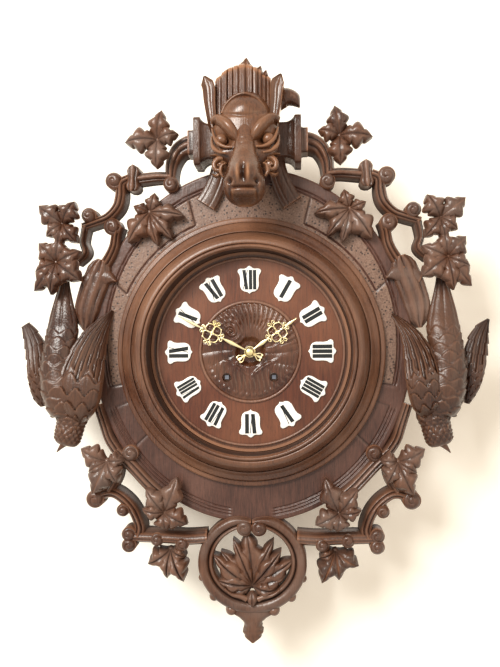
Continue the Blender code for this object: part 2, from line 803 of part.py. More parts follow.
centre_stem = turned_mesh(
    "centre_wheel",
    [
        (0, stem_tip),
        (CENTRE_STEM, stem_tip),
        (CENTRE_STEM, BACK_PLATE_FRONT + RUNNING),
        (PIVOT_RADIUS, BACK_PLATE_FRONT + RUNNING),
        (PIVOT_RADIUS, BACK_PLATE_BACK),
        (0, BACK_PLATE_BACK),
    ],
    10,
)
train_arbor(
    "centre_wheel",
    centre_at,
    wheel_mesh("centre_rim", centre_at, THIRD_TEETH, THIRD_MODULE, toward(centre_at, third_at), centre_front),
    pinion_mesh(
        "centre_pinion",
        centre_at,
        SECOND_PINION,
        SECOND_MODULE,
        gap_angle(centre_at, second_at, SECOND_PINION),
        second_front - half_wheel,
    ),
    centre_stem,
)
train_arbor(
    "third_wheel",
    third_at,
    wheel_mesh(
        "third_rim", third_at, ESCAPE_DRIVER_TEETH, ESCAPE_MODULE, toward(third_at, escape_at), third_front
    ),
    pinion_mesh(
        "third_pinion",
        third_at,
        THIRD_PINION,
        THIRD_MODULE,
        gap_angle(third_at, centre_at, THIRD_PINION),
        centre_front - half_wheel,
    ),
)
saw = np.arange(ESCAPE_TEETH) * FULL_TURN / ESCAPE_TEETH
saw_step = FULL_TURN / ESCAPE_TEETH
saw_angles = np.stack([saw, saw + 0.12 * saw_step, saw + 0.55 * saw_step], -1).ravel()
saw_radii = np.tile([ESCAPE_RADIUS, ESCAPE_RADIUS, ESCAPE_RADIUS * 0.8], ESCAPE_TEETH)
saw_outline = np.stack(
    [escape_at[0] + saw_radii * np.cos(saw_angles), escape_at[1] + saw_radii * np.sin(saw_angles)], -1
)
escape_rim = flat_mesh(
    "escape_rim",
    [saw_outline] + crossings(escape_at, 2.6 * ARBOR_RADIUS * 0.8, ESCAPE_RADIUS * 0.65),
    escape_front - WHEEL_THICK,
    escape_front,
)
train_arbor(
    "escape_wheel",
    escape_at,
    escape_rim,
    pinion_mesh(
        "escape_pinion",
        escape_at,
        ESCAPE_PINION,
        ESCAPE_MODULE,
        gap_angle(escape_at, third_at, ESCAPE_PINION),
        third_front - half_wheel,
    ),
)

# Pallet anchor over the escape wheel, on an arbor that also carries the pendulum behind the plate
pallet_reach = ESCAPE_RADIUS + PALLET_CLEARANCE
pallet = np.array(polar((0.0, 0.0), pallet_reach, 40))
rise = anchor_at[1] - escape_at[1]
anchor_half = np.array(
    [
        (0.0, rise + 3.4),
        (3.0, rise + 2.6),
        (0.75 * ESCAPE_RADIUS, rise - 1.6),
        (pallet[0] + 3.2, pallet[1] + 1.2),
        (pallet[0] + 1.2, pallet[1] - 1.2),
        tuple(pallet),
        (0.6 * ESCAPE_RADIUS, pallet_reach + 0.6),
        (0.0, pallet_reach + 0.8),
    ]
)
anchor_outline = np.vstack([anchor_half, anchor_half[-2:0:-1] * (-1, 1)]) + escape_at
pendulum_back = BACK_PLATE_BACK - 8.0
pendulum_front = pendulum_back + 4.0
anchor_stem = turned_mesh(
    "pallet_anchor",
    [
        (0, PLATE_FRONT),
        (PIVOT_RADIUS, PLATE_FRONT),
        (PIVOT_RADIUS, PLATE_INNER - RUNNING),
        (ARBOR_RADIUS, PLATE_INNER - RUNNING),
        (ARBOR_RADIUS, pendulum_back),
        (0, pendulum_back),
    ],
    10,
    anchor_at,
)
anchor = add_object("pallet_anchor", anchor_stem, STEEL, pivot=(*anchor_at, PLATE_FRONT))
combine(anchor, "UNION", flat_mesh("anchor", [anchor_outline], escape_front - WHEEL_THICK, escape_front))

bob_at = (anchor_at[0], anchor_at[1] - PENDULUM_LENGTH)
bob_middle = (pendulum_back + pendulum_front) / 2
bob_profile = [
    (0, bob_middle + BOB_THICK / 2),
    (0.6 * BOB_RADIUS, bob_middle + 0.34 * BOB_THICK),
    (BOB_RADIUS, bob_middle + 0.08 * BOB_THICK),
    (BOB_RADIUS, bob_middle - 0.08 * BOB_THICK),
    (0.6 * BOB_RADIUS, bob_middle - 0.34 * BOB_THICK),
    (0, bob_middle - BOB_THICK / 2),
]
eye_radius = ARBOR_RADIUS + RUNNING + 2.0
eye = flat_mesh(
    "pendulum",
    [circle(*anchor_at, eye_radius, 12), circle(*anchor_at, ARBOR_RADIUS + RUNNING, 10)],
    pendulum_back,
    pendulum_front,
)
pendulum = add_object("pendulum", eye, BRASS, pivot=(*anchor_at, bob_middle))
rod_top = anchor_at[1] - ARBOR_RADIUS - RUNNING - 1.0
combine(
    pendulum,
    "UNION",
    upright_post("pendulum_rod", anchor_at[0], bob_middle, bob_at[1], rod_top, ROD_RADIUS, 8),
    turned_mesh("pendulum_bob", bob_profile, 14, bob_at),
)

# Motion work in the board's opening: cannon pinion, minute wheel on its stud, hour wheel
motion_back = PLATE_FRONT + 2.0
minute_front = motion_back + 3.0
hour_back = minute_front + 1.5
hour_wheel_front = hour_back + WHEEL_THICK
cannon_profile = [
    (cannon_bore, minute_hand_front - SEAT),
    (cannon_radius, minute_hand_front - SEAT),
    (cannon_radius, motion_back - RUNNING),
    (cannon_bore, motion_back - RUNNING),
]
cannon = add_object(
    "cannon_pinion",
    turned_mesh("cannon_pinion", cannon_profile, 10, ring=True),
    MOVEMENT_BRASS,
    pivot=(0, 0, minute_front),
)
cannon_leaves = [
    gear_outline(centre_at, CANNON_TEETH, MOTION_MODULE, toward(centre_at, minute_at)),
    circle(0.0, 0.0, (cannon_bore + cannon_radius) / 2, 8),
]
combine(cannon, "UNION", flat_mesh("cannon_leaves", cannon_leaves, motion_back - 0.2, minute_front))
stud_bore = circle(*minute_at, STUD_RADIUS + RUNNING, 10)
minute_outlines = [
    gear_outline(minute_at, MINUTE_TEETH, MOTION_MODULE, gap_angle(minute_at, centre_at, MINUTE_TEETH))
]
minute_outlines.append(stud_bore)
minute_wheel = add_object(
    "minute_wheel",
    flat_mesh("minute_wheel", minute_outlines, minute_front - WHEEL_THICK, minute_front),
    MOVEMENT_BRASS,
    pivot=(*minute_at, minute_front),
)
minute_pinion_outlines = [
    gear_outline(minute_at, MINUTE_PINION, hour_module, gap_angle(minute_at, centre_at, MINUTE_PINION)),
    stud_bore,
]
minute_pinion_front = hour_wheel_front + 1.0
combine(
    minute_wheel,
    "UNION",
    flat_mesh("minute_pinion", minute_pinion_outlines, minute_front - 0.5, minute_pinion_front),
)
hour_profile = [
    (hour_bore, hour_hand_front - SEAT),
    (hour_radius, hour_hand_front - SEAT),
    (hour_radius, hour_back - 0.4),
    (hour_bore, hour_back - 0.4),
]
hour_wheel = add_object(
    "hour_wheel",
    turned_mesh("hour_wheel", hour_profile, 10, ring=True),
    MOVEMENT_BRASS,
    pivot=(0, 0, hour_back),
)
hour_outlines = [gear_outline(centre_at, HOUR_TEETH, hour_module, toward(centre_at, minute_at))]
hour_outlines.append(circle(0.0, 0.0, (hour_bore + hour_radius) / 2, 8))
combine(hour_wheel, "UNION", flat_mesh("hour_rim", hour_outlines, hour_back, hour_wheel_front))

# Strike train: barrel, pin wheel, fly
barrel("strike_barrel", strike_at, pin_wheel_at)
winding_arbor("strike_winding_arbor", strike_at)
pin_wheel = train_arbor(
    "pin_wheel",
    pin_wheel_at,
    wheel_mesh(
        "pin_rim", pin_wheel_at, SECOND_TEETH, SECOND_MODULE, toward(pin_wheel_at, fly_at), second_front
    ),
    pinion_mesh(
        "pin_pinion",
        pin_wheel_at,
        GREAT_PINION,
        GREAT_MODULE,
        gap_angle(pin_wheel_at, strike_at, GREAT_PINION),
        great_middle,
    ),
)
pin_back = second_front - WHEEL_THICK - PIN_LENGTH
pin_profile = [
    (0, second_front - 0.5), (PIN_RADIUS, second_front - 0.5), (PIN_RADIUS, pin_back), (0, pin_back)
]
for pin in range(STRIKE_PINS):
    pin_place = polar(pin_wheel_at, PIN_CIRCLE, (pin + 0.5) * 360 / STRIKE_PINS)
    combine(pin_wheel, "UNION", turned_mesh("strike_pin", pin_profile, 5, pin_place))
vane_low = (fly_at[0] - VANE_RADIUS, fly_at[1] - VANE_THICK / 2, great_middle - 4.0)
vane_high = (fly_at[0] + VANE_RADIUS, fly_at[1] + VANE_THICK / 2, depth(DRUM_LAYER))
train_arbor(
    "fly",
    fly_at,
    pinion_mesh(
        "fly_pinion",
        fly_at,
        SECOND_PINION,
        SECOND_MODULE,
        gap_angle(fly_at, pin_wheel_at, SECOND_PINION),
        second_front - half_wheel,
    ),
    block_mesh("fly_vane", vane_low, vane_high),
)

# Gong: a flat coil whose inner end is held by a boss on an iron post
gong_front = BACK_PLATE_BACK + 18.0
boss_top = GONG_Z - 2 * GONG_WIRE - SEAT
post_front = gong_front - GONG_WIRE - 3.0
post_back = post_front - 6.0
post_low = (GONG_INNER - GONG_POST / 2, BOX_BOTTOM + BOX_WALL + SEAT, post_back)
gong_block = add_object(
    "gong_block", block_mesh("gong_block", post_low, (GONG_INNER + GONG_POST / 2, boss_top, post_front)), IRON
)
boss_low = (GONG_INNER - GONG_WIRE - 0.6, boss_top - 4.0, post_back + 1.0)
boss_high = (GONG_INNER + GONG_WIRE + 0.6, boss_top - 0.01, gong_front + GONG_WIRE + 1.0)
combine(gong_block, "UNION", block_mesh("gong_boss", boss_low, boss_high))
coil_turn = np.linspace(0, GONG_LOOPS * FULL_TURN, GONG_LOOPS * LOOP_STEPS + 1)
coil_reach = GONG_INNER + (GONG_OUTER - GONG_INNER) * coil_turn / coil_turn[-1]
coil_path = np.stack([coil_reach * np.cos(coil_turn), GONG_Z + coil_reach * np.sin(coil_turn)], -1)
coil_path = np.vstack([[(GONG_INNER, GONG_Z - 2 * GONG_WIRE)], coil_path])
coil_gap = min(
    np.linalg.norm(coil_path[i] - coil_path[i + LOOP_STEPS // 2 :], axis=1).min()
    for i in range(len(coil_path) - LOOP_STEPS // 2)
)
print(f"gong coil: least gap to itself {coil_gap - 2 * GONG_WIRE:.2f} mm")


def wire_mesh(name, points, radius, sides=1):
    """A round wire along (x, z, front) points, with its ends filled."""
    curve = bpy.data.curves.new(name, "CURVE")
    curve.dimensions = "3D"
    curve.bevel_depth = radius * MM
    curve.bevel_resolution = sides
    curve.use_fill_caps = True
    spline = curve.splines.new("POLY")
    spline.points.add(len(points) - 1)
    corners = np.ones((len(points), 4))
    corners[:, :3] = world(points)
    spline.points.foreach_set("co", corners.ravel())
    return mesh_of_curve(curve, (0.0, 0.0, 0.0), (0.0, 0.0, 0.0))


add_object("gong_coil", wire_mesh("gong_coil", at_front(coil_path, gong_front), GONG_WIRE), STEEL)

# Hammer: arbor, tail by the strike pins, cranked rod and head at the rim of the gong
hammer_back = BACK_PLATE_BACK - 7.0
hammer_stem = turned_mesh(
    "hammer",
    [
        (0, PLATE_FRONT),
        (PIVOT_RADIUS, PLATE_FRONT),
        (PIVOT_RADIUS, PLATE_INNER - RUNNING),
        (ARBOR_RADIUS, PLATE_INNER - RUNNING),
        (ARBOR_RADIUS, hammer_back),
        (0, hammer_back),
    ],
    10,
    hammer_at,
)
hammer = add_object("hammer", hammer_stem, STEEL, pivot=(*hammer_at, PLATE_FRONT))
tail_way = toward(hammer_at, pin_wheel_at)
tail_reach = 10.0 - PIN_RADIUS - 0.6
tail_side = np.array([-math.sin(tail_way), math.cos(tail_way)]) * 1.2
tail_tip = np.array(polar(hammer_at, tail_reach, math.degrees(tail_way)))
tail_root = np.array(hammer_at)
tail_outline = [tail_root + tail_side, tail_root - tail_side, tail_tip - tail_side, tail_tip + tail_side]
head_x = GONG_OUTER + GONG_WIRE + HAMMER_REST + HEAD_HALF
rod_front = hammer_back + 2.2
rod_points = [
    (hammer_at[0], hammer_at[1], rod_front),
    (hammer_at[0], PLATE_BOTTOM - 4.0, rod_front),
    (head_x, GONG_Z + 18.0, gong_front),
    (head_x, GONG_Z, gong_front),
]
combine(
    hammer,
    "UNION",
    flat_mesh("hammer_tail", [tail_outline], pin_back, pin_back + PIN_LENGTH - 0.6),
    wire_mesh("hammer_rod", rod_points, ROD_RADIUS),
    block_mesh(
        "hammer_head",
        (head_x - HEAD_HALF, GONG_Z - 4.0, gong_front - HEAD_HALF),
        (head_x + HEAD_HALF, GONG_Z + 6.0, gong_front + HEAD_HALF),
    ),
)

# Plates: a pivot hole for every arbor, pillars on the back plate, the minute wheel's stud in front
cut = 8.0
plate_outline = [
    (-PLATE_HALF_WIDTH + cut, PLATE_BOTTOM),
    (PLATE_HALF_WIDTH - cut, PLATE_BOTTOM),
    (PLATE_HALF_WIDTH, PLATE_BOTTOM + cut),
    (PLATE_HALF_WIDTH, PLATE_TOP - cut),
    (PLATE_HALF_WIDTH - cut, PLATE_TOP),
    (-PLATE_HALF_WIDTH + cut, PLATE_TOP),
    (-PLATE_HALF_WIDTH, PLATE_TOP - cut),
    (-PLATE_HALF_WIDTH, PLATE_BOTTOM + cut),
]
pivots = [second_at, third_at, escape_at, pin_wheel_at, fly_at]
small_hole = PIVOT_RADIUS + RUNNING
front_holes = [circle(*place, small_hole, 6, 0.2) for place in pivots + [anchor_at, hammer_at]]
front_holes += [circle(*place, WINDING_RADIUS + RUNNING, 10, 0.1) for place in (going_at, strike_at)]
front_holes.append(circle(*centre_at, CENTRE_STEM + RUNNING, 8, 0.1))
front_plate = add_object(
    "front_plate",
    flat_mesh("front_plate", [plate_outline] + front_holes, PLATE_INNER, PLATE_FRONT),
    MOVEMENT_BRASS,
)
stud_tip = minute_pinion_front + 0.5
stud_profile = [
    (0, stud_tip), (STUD_RADIUS, stud_tip), (STUD_RADIUS, PLATE_INNER + 0.5), (0, PLATE_INNER + 0.5)
]
combine(front_plate, "UNION", turned_mesh("minute_stud", stud_profile, 10, minute_at))
back_holes = [circle(*place, small_hole, 6, 0.2) for place in pivots + [centre_at]]
back_holes += [circle(*place, ARBOR_RADIUS + RUNNING, 8, 0.1) for place in (anchor_at, hammer_at)]
back_holes += [circle(*place, PIVOT_RADIUS * 2 + RUNNING, 8, 0.1) for place in (going_at, strike_at)]
back_plate = add_object(
    "back_plate",
    flat_mesh("back_plate", [plate_outline] + back_holes, BACK_PLATE_BACK, BACK_PLATE_FRONT),
    MOVEMENT_BRASS,
)
pillar_top = PLATE_INNER - SEAT
for side in (-1, 1):
    for level in (PLATE_BOTTOM + PILLAR_INSET, PLATE_TOP - PILLAR_INSET):
        place = (side * (PLATE_HALF_WIDTH - PILLAR_INSET), level)
        pillar = [(0, pillar_top), (PILLAR_RADIUS, pillar_top), (PILLAR_RADIUS, BACK_PLATE_BACK + 0.5)]
        pillar.append((0, BACK_PLATE_BACK + 0.5))
        combine(back_plate, "UNION", turned_mesh("pillar", pillar, 8, place))

# Hands: half width along the hand from its forked tail to its point, with a pierced rosette


def hand_outlines(length, body, eye_hole, share):
    """Outline and piercings of a hand with its rosette at body, share of the way round the dial."""
    r = ROSETTE_RADIUS
    eye = [polar((0.0, 0.0), eye_hole + HAND_EYE, degrees) for degrees in (165, 130, 90, 50, 18)]
    upper = [(-HAND_TAIL, HAND_EYE), (-0.75 * HAND_TAIL, STALK_HALF)] + eye
    upper += [
        (body - r, STALK_HALF),
        (body - r * 0.8, r * 0.75),
        (body - r * 0.45, r * 0.9),
        (body, r * 0.45),
        (body + r * 0.45, r * 0.9),
        (body + r * 0.8, r * 0.75),
        (body + r, STALK_HALF),
        (length - 2 * STALK_HALF, 0.6 * STALK_HALF),
    ]
    lower = [(along, -across) for along, across in upper[::-1]]
    outline = np.array(upper + [(length, 0.0)] + lower + [(-0.85 * HAND_TAIL, 0.0)])
    holes = [circle(0.0, 0.0, eye_hole, 10)]
    for along, across in ((-0.5, 0.42), (-0.5, -0.42), (0.5, 0.42), (0.5, -0.42)):
        holes.append(circle(body + along * r, across * r, r * 0.24, 5))
    turn = math.pi / 2 - FULL_TURN * share
    spin = np.array([[math.cos(turn), math.sin(turn)], [-math.sin(turn), math.cos(turn)]])
    return [np.asarray(line) @ spin for line in [outline] + holes]


minute_share = (HANDS_MINUTES % 60) / 60
hour_share = HANDS_MINUTES / 720
add_object(
    "hour_hand",
    flat_mesh(
        "hour_hand",
        hand_outlines(HOUR_LENGTH, HOUR_ROSETTE, hour_radius + SEAT, hour_share),
        hour_hand_back,
        hour_hand_front,
    ),
    BRASS,
)
add_object(
    "minute_hand",
    flat_mesh(
        "minute_hand",
        hand_outlines(MINUTE_LENGTH, MINUTE_ROSETTE, cannon_radius + SEAT, minute_share),
        minute_hand_back,
        minute_hand_front,
    ),
    BRASS,
)
nut_bore = CENTRE_STEM + SEAT
nut_profile = [
    (nut_bore, nut_back + NUT_HEIGHT),
    (0.6 * NUT_RADIUS, nut_back + NUT_HEIGHT),
    (NUT_RADIUS, nut_back + 0.4 * NUT_HEIGHT),
    (NUT_RADIUS, nut_back),
    (nut_bore, nut_back),
]
add_object("hand_nut", turned_mesh("hand_nut", nut_profile, 8, ring=True), BRASS)


# Carving. Every place is set out from the oval rim, so that the frame follows the board.
board_space = helper(
    lofted("board_space", [at_front(oval(BOARD_REBATE), 0.0), at_front(oval(BOARD_REBATE), CARVED_SEAT)])
)


def leaf_mesh(name, place, lobes, side, back, rise=LEAF_RISE):
    """A vine leaf: its lobes are (heading, length, width) round a heart, with a ridge along each.

    Each lobe gives a valley, a shoulder, the tip and a shoulder. Shoulders stay short of the
    middle between two lobes, so that the outline runs round the heart without crossing itself.
    """
    lobes = sorted(lobes)
    outline = []
    for number, (heading, length, width) in enumerate(lobes):
        before = lobes[number - 1]
        after = lobes[(number + 1) % len(lobes)]
        low_gap = (heading - before[0]) % 360
        high_gap = (after[0] - heading) % 360
        spread = math.degrees(math.atan2(width / 2, SHOULDER * length))
        shoulder = math.hypot(width / 2, SHOULDER * length)
        valley = LEAF_VALLEY * min(length, before[1])
        outline.append((heading - low_gap / 2, valley, 0.0))
        outline.append((heading - min(spread, SHOULDER_SHARE * low_gap), shoulder, 0.6))
        outline.append((heading, length, 1.0))
        outline.append((heading + min(spread, SHOULDER_SHARE * high_gap), shoulder, 0.6))
    angle, reach, crown = np.array(outline).T
    unit = np.stack([side * np.cos(np.radians(angle)), np.sin(np.radians(angle))], -1)
    rings = [
        at_front(place + unit * reach[:, None], back),
        at_front(place + unit * reach[:, None], back + LEAF_EDGE),
        at_front(place + unit * (0.62 * reach)[:, None], back + rise * (0.7 + 0.3 * crown)),
        at_front(place + unit * LEAF_EDGE / 2, back + 0.6 * rise),
    ]
    return lofted(name, rings)


def strand_mesh(name, points, widths, front=FRAME_FRONT, back=FRAME_BACK, count=9):
    """A carved band along a curve: two reeds with a groove between, square behind."""
    path = smooth_path(points, count)
    half = np.interp(np.linspace(0, 1, count), np.linspace(0, 1, len(widths)), widths) / 2
    way = np.gradient(path, axis=0)
    way /= np.linalg.norm(way, axis=1)[:, None]
    across = np.stack([-way[:, 1], way[:, 0]], -1) * half[:, None]
    section = ((-1.0, 0.0), (-1.0, -4.0), (-0.5, 0.0), (0.0, -3.0), (0.5, 0.0), (1.0, -4.0), (1.0, 0.0))
    columns = []
    for number, (share, drop) in enumerate(section):
        level = back if number in (0, len(section) - 1) else front + drop
        columns.append(at_front(path + share * across, level))
    return lofted(name, np.stack(columns, 1))


def knob_mesh(name, place, radius, front=FRAME_FRONT, back=FRAME_BACK):
    """A round volute eye or bead, domed in front."""
    profile = [
        (0, front), (0.6 * radius, front - 1.0), (radius, front - 5.0), (radius, back + 1.0), (0, back + 1.0)
    ]
    return turned_mesh(name, profile, KNOB_SIDES, tuple(place))


def block_at(name, place, half_x, half_z, back, front):
    """An upright block about a place on the board."""
    return block_mesh(
        name, (place[0] - half_x, place[1] - half_z, back), (place[0] + half_x, place[1] + half_z, front)
    )


def body_loft(name, spine, half_across, half_front, sides=10, grow=0.0):
    """Oval sections along a spine of (x, z, front) points, square to its line on the board."""
    spine = np.asarray(spine, float)
    way = np.gradient(spine, axis=0)
    way /= np.linalg.norm(way, axis=1)[:, None]
    forward = np.array([0.0, 0.0, 1.0])
    across = np.cross(way, forward)
    across /= np.linalg.norm(across, axis=1)[:, None]
    lift = np.cross(across, way)
    angle = np.arange(sides) * FULL_TURN / sides
    wide = (np.asarray(half_across) + grow)[:, None, None] * np.cos(angle)[None, :, None]
    deep = (np.asarray(half_front) + grow)[:, None, None] * np.sin(angle)[None, :, None]
    return lofted(name, spine[:, None] + across[:, None] * wide + lift[:, None] * deep)


# Game birds, hanging head down beside the dial: body with neck and beak, and two half-open wings


# Stations of a bird: sideways and upward from its breast, front from the wall, half width, half depth
BIRD_AT = (97.0, 22.0)
BIRD_BODY = (
    (12, 102, 87, 6, 3),
    (12, 78, 90, 9, 4),
    (11, 46, 98, 17, 10),
    (13, 24, 101, 19, 15),
    (14, 2, 103, 22, 20),
    (10, -19, 105, 25, 23),
    (4, -37, 105, 24, 22),
    (0, -50, 103, 17, 16),
    (1, -61, 103, 13, 13),
    (3, -71, 105, 13, 13),
    (7, -80, 106, 9, 9),
    (15, -90, 107, 1, 1),
)
NEAR_WING = (
    (-9, -56, 108, 6, 6),
    (-10, -46, 116, 15, 10),
    (-13, -28, 120, 23, 12),
    (-17, 3, 114, 22, 11),
    (-24, 34, 104, 16, 7),
    (-33, 52, 97, 11, 5),
    (-43, 63, 92, 2, 3),
)
FAR_WING = (
    (36, -38, 92, 3, 4),
    (38, -27, 95, 8, 7),
    (41, -5, 94, 12, 7),
    (47, 28, 89, 12, 5),
    (54, 42, 86, 7, 4),
    (63, 53, 84, 2, 3),
)


def bird_meshes(side, grow=0.0):
    """Body with tail, neck and beak, then the wing over the board and the one behind the body."""
    meshes = []
    for name, stations, sides in (
        ("body", BIRD_BODY, 9), ("near_wing", NEAR_WING, 6), ("far_wing", FAR_WING, 6),
    ):
        x, z, front, half, deep = np.array(stations, float).T
        spine = rim_point(*BIRD_AT, side) + np.stack([side * x, z], -1)
        meshes.append(body_loft(name, at_front(spine, front), half, deep, sides, grow))
    return meshes


bird_space = {}
for side, hand in ((-1, "left"), (1, "right")):
    body, near, far = bird_meshes(side)
    bird = add_object(f"bird_{hand}", body, WALNUT)
    combine(bird, "UNION", near, far)
    combine(bird, "DIFFERENCE", board_space)
    bird_space[side] = [helper(mesh) for mesh in bird_meshes(side, 2 * SEAT)]

# Crest: spool block under the head, with a strap on each side that lies on the board
spool_at = rim_point(0.0, SPOOL_RISE)
neck_end = SPOOL_HALF + FLANGE_THICK + NECK_LENGTH


def spool_rings():
    """Squares along the block: a plain middle, hollow cheeks, flanges and necks."""
    flange_end = SPOOL_HALF + FLANGE_THICK
    half = [
        (SPOOL_HALF - COVE, SPOOL_TALL, 0.0),
        (SPOOL_HALF - 0.35 * COVE, SPOOL_TALL + 0.25 * FLANGE_GROW, 0.6),
        (SPOOL_HALF, SPOOL_TALL + FLANGE_GROW, 3.0),
        (flange_end, SPOOL_TALL + FLANGE_GROW, 3.0),
        (flange_end + SEAT, 0.7 * SPOOL_TALL, -4.0),
        (neck_end, 0.7 * SPOOL_TALL, -4.0),
    ]
    stations = [(-x, tall, swell) for x, tall, swell in half[::-1]] + half
    rings = []
    for x, tall, swell in stations:
        low, high = spool_at[1] - tall, spool_at[1] + tall
        back, front = SPOOL_BACK - swell, SPOOL_FRONT + swell
        rings.append([(x, low, back), (x, high, back), (x, high, front), (x, low, front)])
    return np.array(rings)


crest = add_object("crest_block", lofted("crest_block", spool_rings()), WALNUT)
for side in (-1, 1):
    strap = spool_at + np.array([(29, -16), (32, -28), (37, -44), (48, -65)]) * (side, 1)
    combine(
        crest, "UNION", strand_mesh("strap", strap, (18.0, 20.0, 23.0), CARVED_SEAT + 9.0, CARVED_SEAT, 5)
    )

# Beast head on the front of the crest block. Stations of skull and muzzle: upward from the block's
# middle, front from the head's seat, half width and half depth.
head_seat = SPOOL_FRONT + SEAT
SKULL = (
    (-38, 22, 16, 14),
    (-29, 23, 28, 20),
    (-8, 22, 35, 22),
    (10, 21, 33, 22),
    (24, 20, 27, 20),
    (42, 16, 12, 11),
)
MUZZLE = (
    (14, 32, 9, 8),
    (-14, 41, 10, 10),
    (-26, 45, 12, 12),
    (-38, 50, 16, 17),
    (-50, 53, 20, 21),
    (-59, 51, 21, 19),
    (-68, 47, 20, 17),
    (-79, 40, 7, 6),
)
BROW = ((35, 13, 36, 3, 3), (28, 8, 40, 7, 7), (16, -4, 44, 8, 8), (7, -14, 46, 3, 4))
EAR = ((33, 6, 18, 5, 8), (37, 24, 16, 7.5, 7), (38.5, 50, 14, 6.5, 5), (43, 61, 13, 1, 2))
MANE_STEPS = ((-33, 58), (-24, 64), (-15.5, 69), (-5, 74), (5, 69), (12, 65), (21, 58), (31, 10))
MANE_DEEP = 26.0
EYE_AT = (20.5, -10.5)
EYE_RADIUS = 6.0
CHEEK_AT = (24.0, -36.0)
CHEEK_RADIUS = 9.0


def face_loft(name, stations, side=1, sides=12):
    """Ovals through stations on the head: sideways, upward, front, half width, half depth."""
    x, z, front, half, deep = np.array(stations, float).T
    return body_loft(name, np.stack([side * x, spool_at[1] + z, head_seat + front], -1), half, deep, sides)


head = add_object("beast_head", face_loft("beast_head", [(0.0, *station) for station in SKULL]), WALNUT)
mane_top = []
for start, end in zip(MANE_STEPS, MANE_STEPS[1:]):
    mane_top += [(start[0], start[1]), (end[0], start[1])]
mane_outline = spool_at + np.array([(MANE_STEPS[0][0], MANE_STEPS[-1][1])] + mane_top + [MANE_STEPS[-1]])
combine(
    head,
    "UNION",
    face_loft("muzzle", [(0.0, *station) for station in MUZZLE], sides=10),
    flat_mesh("mane", [mane_outline], head_seat, head_seat + MANE_DEEP),
)
for side in (-1, 1):
    eye_at = spool_at + (side * EYE_AT[0], EYE_AT[1])
    cheek_at = spool_at + (side * CHEEK_AT[0], CHEEK_AT[1])
    combine(
        head,
        "UNION",
        face_loft("brow", BROW, side, 7),
        face_loft("ear", EAR, side, 6),
        knob_mesh("eye", eye_at, EYE_RADIUS, head_seat + 43.0, head_seat + 20.0),
        knob_mesh("cheek", cheek_at, CHEEK_RADIUS, head_seat + 38.0, head_seat + 12.0),
    )
crest_room = block_at("crest_room", spool_at, 3 * SPOOL_HALF, 4 * SPOOL_TALL, 0.0, head_seat)
combine(head, "DIFFERENCE", crest_room)

# Lobes of the vine leaves on the right side: heading from the right, length and width
CREST_LEAF = ((95, 33, 23), (2, 35, 27), (268, 31, 26), (158, 24, 21))
RIM_LEAF = ((112, 22, 18), (182, 39, 21), (228, 39, 19), (262, 38, 18), (310, 37, 26), (15, 19, 15))
OUTER_UPPER = ((34, 34, 25), (120, 28, 25), (322, 23, 19), (278, 26, 20), (235, 27, 21))
OUTER_LOWER = (
    (55, 29, 24), (212, 34, 29), (330, 25, 21), (302, 40, 24), (274, 36, 21), (162, 30, 24), (104, 30, 20),
)
SIDE_LEAF = ((20, 32, 26), (288, 39, 26), (334, 23, 19), (170, 19, 19), (238, 26, 22))
LOWER_LEAF = ((118, 41, 24), (58, 33, 22), (203, 29, 24), (268, 20, 23), (4, 24, 19))
HALF_LEAF = ((322, 30, 24), (243, 37, 24), (282, 31, 22), (196, 19, 17))
PENDANT_LEAF = ((90, 56, 35), (143, 58, 29), (37, 58, 29), (196, 25, 21), (344, 25, 21), (270, 24, 14))

